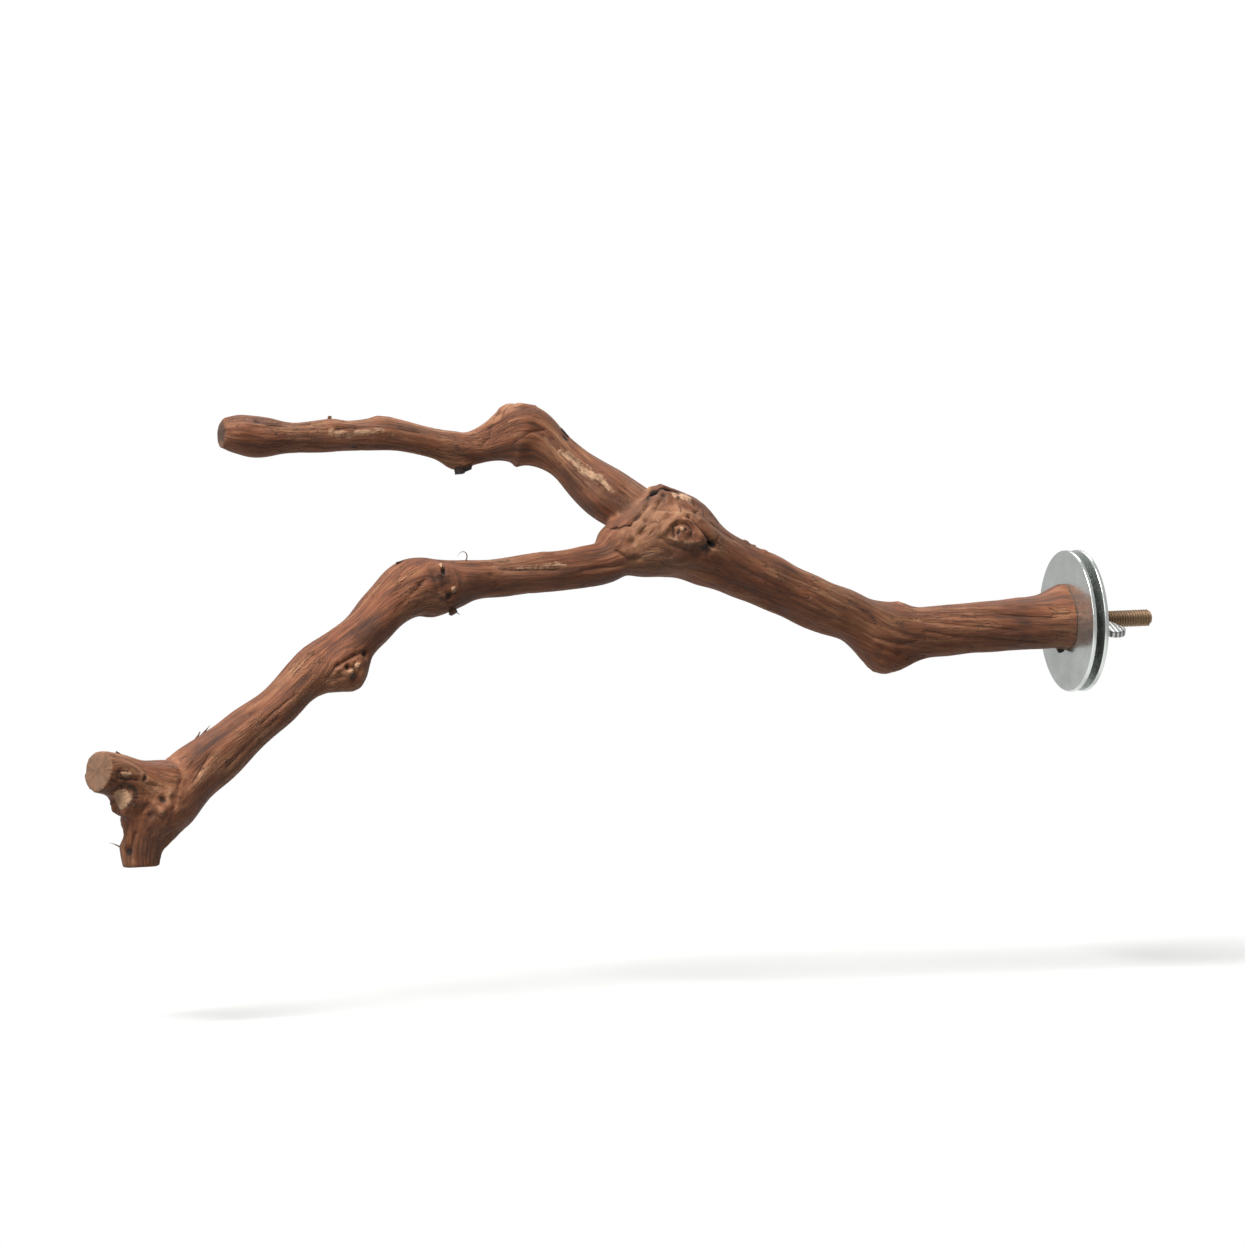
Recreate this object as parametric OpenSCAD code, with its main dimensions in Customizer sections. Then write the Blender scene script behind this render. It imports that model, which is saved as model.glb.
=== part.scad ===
// Cage perch: a forked natural vine branch on a hanger bolt, with two large
// washers that grip the cage bars and a wing nut that closes them.
// The bolt lies along X. The origin is on its axis, at the face of the inner
// washer that meets the bars. The branch runs towards -X and +Z is up.

/* [Trunk] */
// Length of the trunk, from the washer to the fork
trunk_reach = 155; // [120:1:200]
// Rise of the fork above the bolt
trunk_rise = 36; // [10:1:60]
// Usual thickness of the trunk
trunk_d = 18; // [15:0.5:24]

/* [Lower limb] */
// Length of the lower limb along the bolt's direction, past the fork
lower_reach = 210; // [170:1:260]
// Drop of the lower limb, from the fork to its lowest end
lower_drop = 105; // [80:1:130]
// Drift of the lower limb to the front
lower_side = 38; // [10:1:60]
// Usual thickness of the lower limb
lower_d = 15; // [12:0.5:20]
// Length of the stub that the lower limb's head sends on outwards
stub_reach = 26; // [20:1:45]
// Rise of that stub
stub_rise = 11; // [2:1:20]
// Usual thickness of that stub
stub_d = 15; // [11:0.5:18]

/* [Upper limb] */
// Length of the upper limb along the bolt's direction, past the fork
upper_reach = 160; // [120:1:200]
// Rise of the upper limb above the fork
upper_rise = 41; // [30:1:60]
// Drift of the upper limb to the back
upper_side = 28; // [15:1:45]
// Usual thickness of the upper limb
upper_d = 12; // [9:0.5:15]

/* [Hanger bolt] */
// Diameter of the bolt
bolt_d = 6; // [5:0.5:8]
// Length of the machine thread outside the branch
bolt_out = 32; // [28:0.5:45]
// Length of the wood thread inside the branch
bolt_in = 38; // [25:1:50]

/* [Washers] */
// Outer diameter of both washers
washer_d = 50; // [40:1:60]
// Thickness of both washers
washer_t = 1.5; // [1.2:0.1:2.5]
// Gap between the washers, where the cage bars go
cage_gap = 3; // [2.2:0.1:5]
// Clearance all round between the bolt and a washer's hole
washer_clear = 0.2; // [0.1:0.05:0.5]

/* [Wing nut] */
// Diameter of the nut's seat
hub_d = 13; // [11:0.5:16]
// Diameter of the nut's top
hub_top_d = 10; // [9:0.5:12]
// Height of the nut's hub
hub_h = 8; // [6:0.5:10]
// Distance across both wings
wing_span = 30; // [26:0.5:36]
// Height of the wings above the seat
wing_h = 12; // [10.5:0.5:16]
// Thickness of a wing at its ear
wing_t = 2.2; // [1.8:0.1:3]
// Clearance all round between the bolt and the nut's bore
nut_clear = 0.05; // [0.05:0.05:0.2]

/* [Hidden] */

bark_color = [0.42, 0.26, 0.18];
bolt_color = [0.50, 0.43, 0.34];
zinc_color = [0.80, 0.81, 0.80];

// Places along X
branch_end_x = -washer_t;
outer_x = cage_gap;
seat_x = outer_x + washer_t;
fork = [branch_end_x - trunk_reach, 0, trunk_rise];

// Clearance all round between the wood thread and its hole in the branch
wood_clear = 0.05;
// Overrun of every cut past the face that it opens
overrun = 1;

// Sides of the limbs and rings in each span between two places
stem_sides = 24;
upper_sides = 20;
stub_sides = 18;
span_rings = 4;
// Rings on each side over which a limb's direction is evened out
even_rings = 4;

// Bark: how far the flutes stand out, as a share of the limb's radius, and
// the length in which they make one turn about the limb
flute_share = 0.05;
flute_turn = 420;
// Length of one swelling along a limb
swell = 34;

// Each row of a limb is one place on its centreline:
// reach share, side share, rise share and girth share
trunk_shares = [
    [0.00, 0, 0.02, 1.22],
    [0.03, 0, 0.02, 1.10],
    [0.07, 0, 0.00, 1.04],
    [0.13, 0, -0.01, 1.02],
    [0.22, 0, -0.03, 1.01],
    [0.30, 0, -0.06, 1.00],
    [0.36, 0, -0.06, 1.02],
    [0.41, 0, -0.06, 1.10],
    [0.45, 0, -0.03, 1.12],
    [0.50, 0, 0.06, 1.04],
    [0.54, 0, 0.15, 1.02],
    [0.61, 0, 0.26, 1.02],
    [0.68, 0, 0.40, 1.03],
    [0.75, 0, 0.55, 1.08],
    [0.82, 0, 0.68, 1.10],
    [0.87, 0, 0.78, 1.17],
    [0.93, 0, 0.91, 1.42],
];

lower_shares = [
    [0.00, 0.00, 0.00, 1.94],
    [0.05, 0.00, 0.03, 1.52],
    [0.08, 0.01, 0.05, 1.22],
    [0.10, 0.03, 0.08, 1.00],
    [0.14, 0.05, 0.09, 0.95],
    [0.22, 0.13, 0.10, 0.91],
    [0.29, 0.18, 0.11, 0.90],
    [0.35, 0.24, 0.11, 0.93],
    [0.39, 0.29, 0.12, 1.12],
    [0.44, 0.34, 0.12, 1.34],
    [0.48, 0.37, 0.13, 1.33],
    [0.52, 0.42, 0.18, 1.17],
    [0.56, 0.47, 0.25, 1.04],
    [0.61, 0.53, 0.31, 1.04],
    [0.67, 0.58, 0.38, 1.02],
    [0.73, 0.66, 0.48, 0.99],
    [0.79, 0.71, 0.56, 1.12],
    [0.85, 0.79, 0.64, 1.26],
    [0.90, 0.84, 0.70, 1.37],
    [0.94, 0.89, 0.77, 1.46],
    [0.96, 0.92, 0.79, 1.56],
    [0.98, 0.95, 0.84, 1.42],
    [1.00, 0.98, 0.91, 1.02],
    [1.00, 1.00, 0.99, 0.86],
];

upper_shares = [
    [-0.03, 0.00, 0.00, 1.02],
    [0.01, 0.11, 0.11, 1.46],
    [0.05, 0.25, 0.23, 1.52],
    [0.10, 0.39, 0.36, 1.56],
    [0.14, 0.54, 0.49, 1.36],
    [0.18, 0.68, 0.65, 1.20],
    [0.22, 0.84, 0.79, 1.42],
    [0.26, 0.94, 0.86, 1.76],
    [0.29, 0.97, 0.86, 1.64],
    [0.33, 0.99, 0.80, 1.13],
    [0.38, 1.00, 0.75, 0.93],
    [0.42, 1.00, 0.77, 0.92],
    [0.47, 1.02, 0.81, 0.87],
    [0.54, 1.02, 0.88, 0.88],
    [0.60, 1.02, 0.90, 0.93],
    [0.67, 1.00, 0.90, 0.91],
    [0.74, 0.96, 0.91, 0.90],
    [0.82, 0.89, 0.92, 0.96],
    [0.87, 0.83, 0.93, 1.14],
    [0.91, 0.79, 0.94, 1.25],
    [0.95, 0.75, 0.97, 1.13],
    [0.98, 0.77, 0.98, 0.88],
];

stub_shares = [
    [0.00, 0.00, 0.20, 1.54],
    [0.30, 0.20, 0.38, 1.32],
    [0.52, 0.42, 0.62, 1.13],
    [0.76, 0.72, 0.86, 1.03],
    [1.00, 1.00, 1.00, 1.02],
];

// Knots and burls, each a round swelling on one side of a limb: reach share,
// angle from the top towards the back, height share and width share of the
// limb's usual radius
trunk_knots = [
    [0.44, 180, 0.58, 0.8],
    [0.42, 0, 0.20, 0.7],
    [0.01, 10, 0.20, 0.6],
    [0.30, 60, 0.10, 1.2],
    [0.62, 300, 0.12, 1.0],
    [0.86, 230, 0.14, 1.0],
    [0.95, 0, 0.30, 0.8],
    [0.94, 270, 0.26, 1.1],
];

lower_knots = [
    [0.00, 5, 0.50, 0.7],
    [0.00, 60, 0.20, 1.4],
    [0.26, 40, 0.10, 1.2],
    [0.46, 350, 0.10, 0.9],
    [0.44, 200, 0.14, 1.0],
    [0.63, 205, 1.10, 1.0],
    [0.72, 120, 0.12, 1.2],
    [0.94, 300, 0.20, 1.2],
];

upper_knots = [
    [0.24, 350, 0.12, 1.0],
    [0.26, 180, 0.30, 1.1],
    [0.31, 100, 0.22, 1.0],
    [0.41, 180, 0.36, 0.7],
    [0.58, 0, 0.22, 0.8],
    [0.71, 350, 0.14, 0.8],
    [0.88, 190, 0.10, 1.0],
];

// A limb's places in millimetres, from where it starts and how far it goes
function places(shares, start, reach, side, rise, girth) = [
    for (row = shares) [
        start.x - row[0] * reach,
        start.y + row[1] * side,
        start.z + row[2] * rise,
        row[3] * girth / 2
    ]
];

trunk_places = places(trunk_shares, [branch_end_x, 0, 0], trunk_reach, 0, trunk_rise, trunk_d);
lower_places = places(lower_shares, fork, lower_reach, -lower_side, -lower_drop, lower_d);
upper_places = places(upper_shares, fork, upper_reach, upper_side, upper_rise, upper_d);

// The head is the lower limb's thick end, where the stub leaves it
head_shares = [0.96, 0.91, 0.765];
head = fork - [
    head_shares[0] * lower_reach,
    head_shares[1] * lower_side,
    head_shares[2] * lower_drop
];
stub_side = 7;
// Broken snag on the head, below the stub: its length, thickness at the root
// and at the break, and its turn to the front
snag_h = 20;
snag_d = 18;
snag_end_d = 10;
snag_turn = 22;
stub_places = places(stub_shares, head, stub_reach, -stub_side, stub_rise, stub_d);

// A knot row in millimetres: place along X, angle, height and width
function knots(rows, start_x, reach, girth) = [
    for (row = rows) [
        start_x - row[0] * reach,
        row[1],
        row[2] * girth / 2,
        row[3] * girth / 2
    ]
];

stem_knots = concat(
    knots(trunk_knots, branch_end_x, trunk_reach, trunk_d),
    knots(lower_knots, fork.x, lower_reach, lower_d)
);

// Smooth curve through four neighbouring places
function curve(a, b, c, d, t) =
    (2 * b + (c - a) * t + (2 * a - 5 * b + 4 * c - d) * t * t
    + (3 * b - a - 3 * c + d) * t * t * t) / 2;

// All rings' centres and radii along a limb
function path(p) = let (last = len(p) - 1) concat(
    [
        for (i = [0 : last - 1]) for (k = [0 : span_rings - 1])
            curve(p[max(i - 1, 0)], p[i], p[i + 1], p[min(i + 2, last)], k / span_rings)
    ],
    [p[last]]
);

function point(v) = [v[0], v[1], v[2]];

function unit(v) = v / norm(v);

// Angle between two directions round a limb, from 0 to 180
function apart(a, b) = let (d = abs(a - b) % 360) min(d, 360 - d);

// Height that the knots add at a place and an angle
function knot_lift(rows, x, angle, radius) =
    len(rows) == 0 ? 0 : max([
        for (k = rows)
            let (along = (x - k[0]) / k[3], round = apart(angle, k[1]) * PI / 180 * radius / k[3])
            k[2] * exp(-along * along - round * round)
    ]);

// Flutes of the bark, which wind slowly about the limb
function flutes(x, angle) = let (turn = 360 * x / flute_turn, wave = 360 * x / swell)
    flute_share * (
        0.45 * sin(2 * angle + turn * 2 + 40)
        + 0.35 * sin(3 * angle - turn * 3 + 25 * sin(wave))
        + 0.30 * sin(5 * angle + turn * 5)
        + 0.25 * sin(wave) * sin(angle + turn)
    );

// One ring of points square to the limb
function ring(center, ahead, sides, knot_rows) =
    let (
        top = unit(cross([0, 1, 0], ahead)),
        back = cross(ahead, top),
        radius = center[3]
    )
    [
        for (k = [0 : sides - 1])
            let (
                angle = 360 * k / sides,
                r = radius * (1 + flutes(center.x, angle))
                    + knot_lift(knot_rows, center.x, angle, radius)
            )
            point(center) + r * (cos(angle) * top + sin(angle) * back)
    ];

// Direction of a path at one of its rings, evened out over its neighbours; the
// two ends look straight at the next place, so that their sawn faces are square
function heading(p, i, stations) =
    let (last = len(p) - 1, look = min(even_rings, i, last - i), end = len(stations) - 1)
    unit(point(
        i == 0 ? stations[1] - stations[0]
        : i == last ? stations[end] - stations[end - 1]
        : p[i + look] - p[i - look]
    ));

// A limb is lofted through rings along its path, with a flat sawn face at each end
module limb(stations, sides, knot_rows) {
    p = path(stations);
    last = len(p) - 1;
    rings = [for (i = [0 : last]) ring(p[i], heading(p, i, stations), sides, knot_rows)];
    points = [for (r = rings) for (v = r) v];
    walls = [
        for (i = [0 : last - 1]) for (k = [0 : sides - 1])
            let (a = i * sides + k, b = i * sides + (k + 1) % sides)
            each [[a, a + sides, b + sides], [a, b + sides, b]]
    ];
    near_cap = [for (k = [0 : sides - 1]) k];
    far_cap = [for (k = [sides - 1 : -1 : 0]) last * sides + k];
    polyhedron(points, concat([near_cap], walls, [far_cap]));
}

// The stump of a shoot that broke off the head
module snag() {
    translate(head) rotate([0, 90, 180 + snag_turn])
        cylinder(h = snag_h, d1 = snag_d, d2 = snag_end_d, $fn = 24);
}

// Turns a piece made along +Z so that it lies along +X
module along_x(x) {
    translate([x, 0, 0]) rotate([0, 90, 0]) children();
}

// The forked branch, drilled at its end for the wood thread
module branch() {
    color(bark_color) difference() {
        union() {
            limb(concat(trunk_places, lower_places), stem_sides, stem_knots);
            limb(upper_places, upper_sides, knots(upper_knots, fork.x, upper_reach, upper_d));
            limb(stub_places, stub_sides, []);
            snag();
        }
        along_x(branch_end_x - bolt_in - wood_clear)
            cylinder(h = bolt_in + wood_clear + overrun, d = bolt_d + 2 * wood_clear, $fn = 48);
    }
}

// Hanger bolt: a gimlet point and wood thread in the branch, machine thread outside
module hanger_bolt() {
    point_h = bolt_d;
    tip_d = bolt_d / 8;
    chamfer = bolt_d / 8;
    color(bolt_color) along_x(branch_end_x - bolt_in) rotate_extrude($fn = 48) polygon([
        [0, 0],
        [tip_d / 2, 0],
        [bolt_d / 2, point_h],
        [bolt_d / 2, bolt_in + bolt_out - chamfer],
        [bolt_d / 2 - chamfer, bolt_in + bolt_out],
        [0, bolt_in + bolt_out]
    ]);
}

// Large flat washer with a rolled rim, one face at x and the other towards +X
module washer(x) {
    rim_r = washer_t / 2;
    hole_r = bolt_d / 2 + washer_clear;
    color(zinc_color) along_x(x) rotate_extrude($fn = 96) union() {
        translate([hole_r, 0]) square([washer_d / 2 - rim_r - hole_r, washer_t]);
        translate([washer_d / 2 - rim_r, rim_r]) circle(r = rim_r, $fn = 32);
    }
}

module inner_washer() {
    washer(-washer_t);
}

module outer_washer() {
    washer(outer_x);
}

// One wing, from the hub out to its rounded ear
module wing() {
    ear_r = wing_h / 3;
    root_t = 1.6 * wing_t;
    root_w = hub_h * 0.7;
    hull() {
        translate([wing_span / 2 - ear_r, 0, wing_h - ear_r]) rotate([90, 0, 0])
            cylinder(r = ear_r, h = wing_t, center = true, $fn = 32);
        translate([hub_d / 4, -root_t / 2, (hub_h - root_w) / 2]) cube([hub_d / 8, root_t, root_w]);
    }
}

// Wing nut: a tapered hub with two wings, bored for the bolt
module wing_nut() {
    droop = 16;
    color(zinc_color) along_x(seat_x) rotate(90 + droop) difference() {
        union() {
            cylinder(h = hub_h, d1 = hub_d, d2 = hub_top_d, $fn = 64);
            wing();
            rotate(180) wing();
        }
        translate([0, 0, -overrun]) cylinder(h = hub_h + 2 * overrun, d = bolt_d + 2 * nut_clear, $fn = 48);
    }
}

branch();
hanger_bolt();
inner_washer();
outer_washer();
wing_nut();
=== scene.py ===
"""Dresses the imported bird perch: a forked vine branch on a hanger bolt, with washers and a wing nut.

The file is laid out as an add-on. Its settings hold the sizes and colours, each piece has an operator,
and main() calls them in order. Lengths are in metres, unless a name or a comment says millimetres.
"""

from collections import namedtuple
from itertools import product
from math import cos, pi, radians, sin, tau

import bmesh
import bpy
import numpy as np
from bpy.props import FloatProperty, FloatVectorProperty, PointerProperty
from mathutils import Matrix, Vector
from mathutils.bvhtree import BVHTree


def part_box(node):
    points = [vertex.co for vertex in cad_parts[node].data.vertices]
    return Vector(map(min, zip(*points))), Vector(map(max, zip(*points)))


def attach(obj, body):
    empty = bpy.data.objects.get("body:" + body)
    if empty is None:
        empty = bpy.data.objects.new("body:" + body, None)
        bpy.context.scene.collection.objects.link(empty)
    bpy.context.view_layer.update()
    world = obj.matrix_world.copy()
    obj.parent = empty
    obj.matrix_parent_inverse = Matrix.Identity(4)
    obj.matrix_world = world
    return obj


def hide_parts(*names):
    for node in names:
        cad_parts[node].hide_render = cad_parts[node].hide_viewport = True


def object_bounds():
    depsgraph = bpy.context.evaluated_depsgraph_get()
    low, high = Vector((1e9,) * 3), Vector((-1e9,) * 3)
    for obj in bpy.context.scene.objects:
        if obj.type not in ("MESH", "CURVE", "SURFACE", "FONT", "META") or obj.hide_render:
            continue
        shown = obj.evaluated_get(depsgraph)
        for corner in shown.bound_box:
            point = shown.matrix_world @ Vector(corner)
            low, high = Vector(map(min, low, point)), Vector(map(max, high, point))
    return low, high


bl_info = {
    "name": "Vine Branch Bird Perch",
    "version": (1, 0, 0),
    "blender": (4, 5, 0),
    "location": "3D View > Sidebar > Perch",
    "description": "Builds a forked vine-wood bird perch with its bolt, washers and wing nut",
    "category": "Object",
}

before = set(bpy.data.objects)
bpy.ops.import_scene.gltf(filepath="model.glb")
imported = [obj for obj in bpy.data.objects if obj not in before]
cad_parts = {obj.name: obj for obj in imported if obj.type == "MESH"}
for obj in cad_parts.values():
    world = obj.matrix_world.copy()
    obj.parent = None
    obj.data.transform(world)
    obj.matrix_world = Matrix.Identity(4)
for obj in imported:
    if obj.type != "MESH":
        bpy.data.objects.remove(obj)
CAD_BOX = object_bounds()

MM = 0.001

# Bodies that the pieces ride on, and the record's material slots
PERCH = "perch"
INNER_WASHER = "inner_washer"
OUTER_WASHER = "outer_washer"
WING_NUT = "wing_nut"

# Each limb's middle line from its root to its tip, in millimetres: x, y, z and the limb's radius there
STEM_PLACES = [
    (-1.5, 0, 0.7, 11), (-12, 0, 0, 9.4), (-36, 0, -1.1, 9.1), (-57, 0, -2.2, 9.3),
    (-71, 0, -1, 10.1), (-85, 0, 5.4, 9.2), (-107, 0, 14.4, 9.3), (-129, 0, 24.6, 9.9),
    (-146, 0, 33, 12.8), (-157, 0, 36, 14.6), (-167, 0, 33, 11.5), (-177.5, -1, 28, 7.5),
    (-203, -5, 25.5, 6.8), (-230, -9, 24.5, 7), (-249, -13, 23.4, 10), (-266, -16, 17, 8.8),
    (-285, -20, 3.5, 7.8), (-310, -25, -14.4, 7.4), (-335, -30, -31, 9.4), (-354, -34, -45, 11),
    (-361, -35.5, -50, 11.4), (-366, -37.2, -59.5, 7.7), (-366.5, -38, -68, 6.4),
]
UPPER_PLACES = [
    (-152, 0, 36, 6), (-164.5, 7, 45.4, 9), (-179, 15, 56, 8.2), (-191.5, 23.5, 68.4, 8.5),
    (-198, 26.3, 71.3, 10.5), (-205, 27.4, 70.6, 8.8), (-214, 28, 67.4, 5.9), (-232, 28.6, 69.2, 5.2),
    (-252.5, 28.6, 72.9, 5.6), (-275, 27, 73.3, 5.4), (-297, 23, 74.2, 7), (-305, 21.6, 75.2, 7.2),
    (-313.3, 21.6, 76.2, 5.3),
]
STUB_PLACES = [
    (-358, -34.6, -42, 11.6), (-366, -36, -40, 9.9), (-371.6, -37.5, -37.5, 8.5),
    (-378, -39.6, -34.8, 7.7), (-384, -41.6, -33.3, 7.6),
]
SNAG_PLACES = [
    (-358, -34.6, -44.3, 9), (-367.3, -38.3, -44.3, 7), (-376.6, -42.1, -44.3, 5),
]
LINE_STEPS = 9
# How far along a middle line its places are blended, in millimetres, so that bends stay smooth
LINE_BLEND = 4

# Marks on the bark. A place on a limb is its distance along it in millimetres and its angle round it
# in degrees: 0 on top, 90 at the back, -90 in front and 180 below. A negative distance is a place on
# the limb's end face, that far from its middle. Radius, width and height are millimetres. The darkening
# share paints a mark dark, mostly as painted shade in its pits, cracks and creases and on patches of
# the limbs that lie in shadow, and bare strips it of its bark, both from 0 to 1.
Spot = namedtuple("Spot", "limb along angle radius height hollow bare long", defaults=[1])
Line = namedtuple("Line", "limb places width height hollow bare")
# The torn root of a shoot: pale fibres with a sunken cleft round them, painted dark as shade, deepest on
# the side that it faces, in degrees from the limb's tip round towards its back
Scar = namedtuple("Scar", "limb along angle radius height side round bare long", defaults=[1])
Zone = namedtuple("Zone", "limb along angle radius")

# Knots that the grain flows round
KNOTS = [
    Zone("stem", 161, -78, 5.5),
    Zone("stem", 257, -50, 4),
    Zone("stem", 255, -104, 3.5),
    Zone("stem", 307, -114, 6),
    Zone("stem", 69, 180, 7),
    Zone("stem", 68, -3, 3.5),
    Zone("stem", 20, 60, 3),
    Zone("stem", 118, 150, 4),
    Zone("stem", 232, 110, 4),
    Zone("stem", 334, 120, 4.5),
    Zone("stem", 394, -72, 4),
    Zone("upper", 70, -5, 5),
    Zone("upper", 86, -160, 4),
    Zone("upper", 118, 8, 3),
    Zone("upper", 44, 110, 4),
    Zone("stub", 22, -80, 3),
]

# Burls, where the grain swirls
BURLS = [
    Zone("stem", 160, -60, 16),
    Zone("stem", 176, -60, 8),
    Zone("stem", 158, 90, 12),
    Zone("stem", 256, -60, 8),
    Zone("stem", 306, -116, 9),
    Zone("stem", 69, 180, 8),
    Zone("stem", 395, -80, 12),
    Zone("stem", 390, 90, 10),
    Zone("upper", 70, 20, 8),
]

# Places that get a finer mesh
FINE_ZONES = [
    Zone("stem", 161, -60, 18),
    Zone("stem", 177, -60, 9),
    Zone("stem", 256, -75, 10),
    Zone("stem", 305, -112, 9),
    Zone("stem", 396, -75, 13),
    Zone("snag", -2, 0, 8),
    Zone("stub", 20, -80, 8),
    Zone("upper", 36, -80, 10),
]

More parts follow.
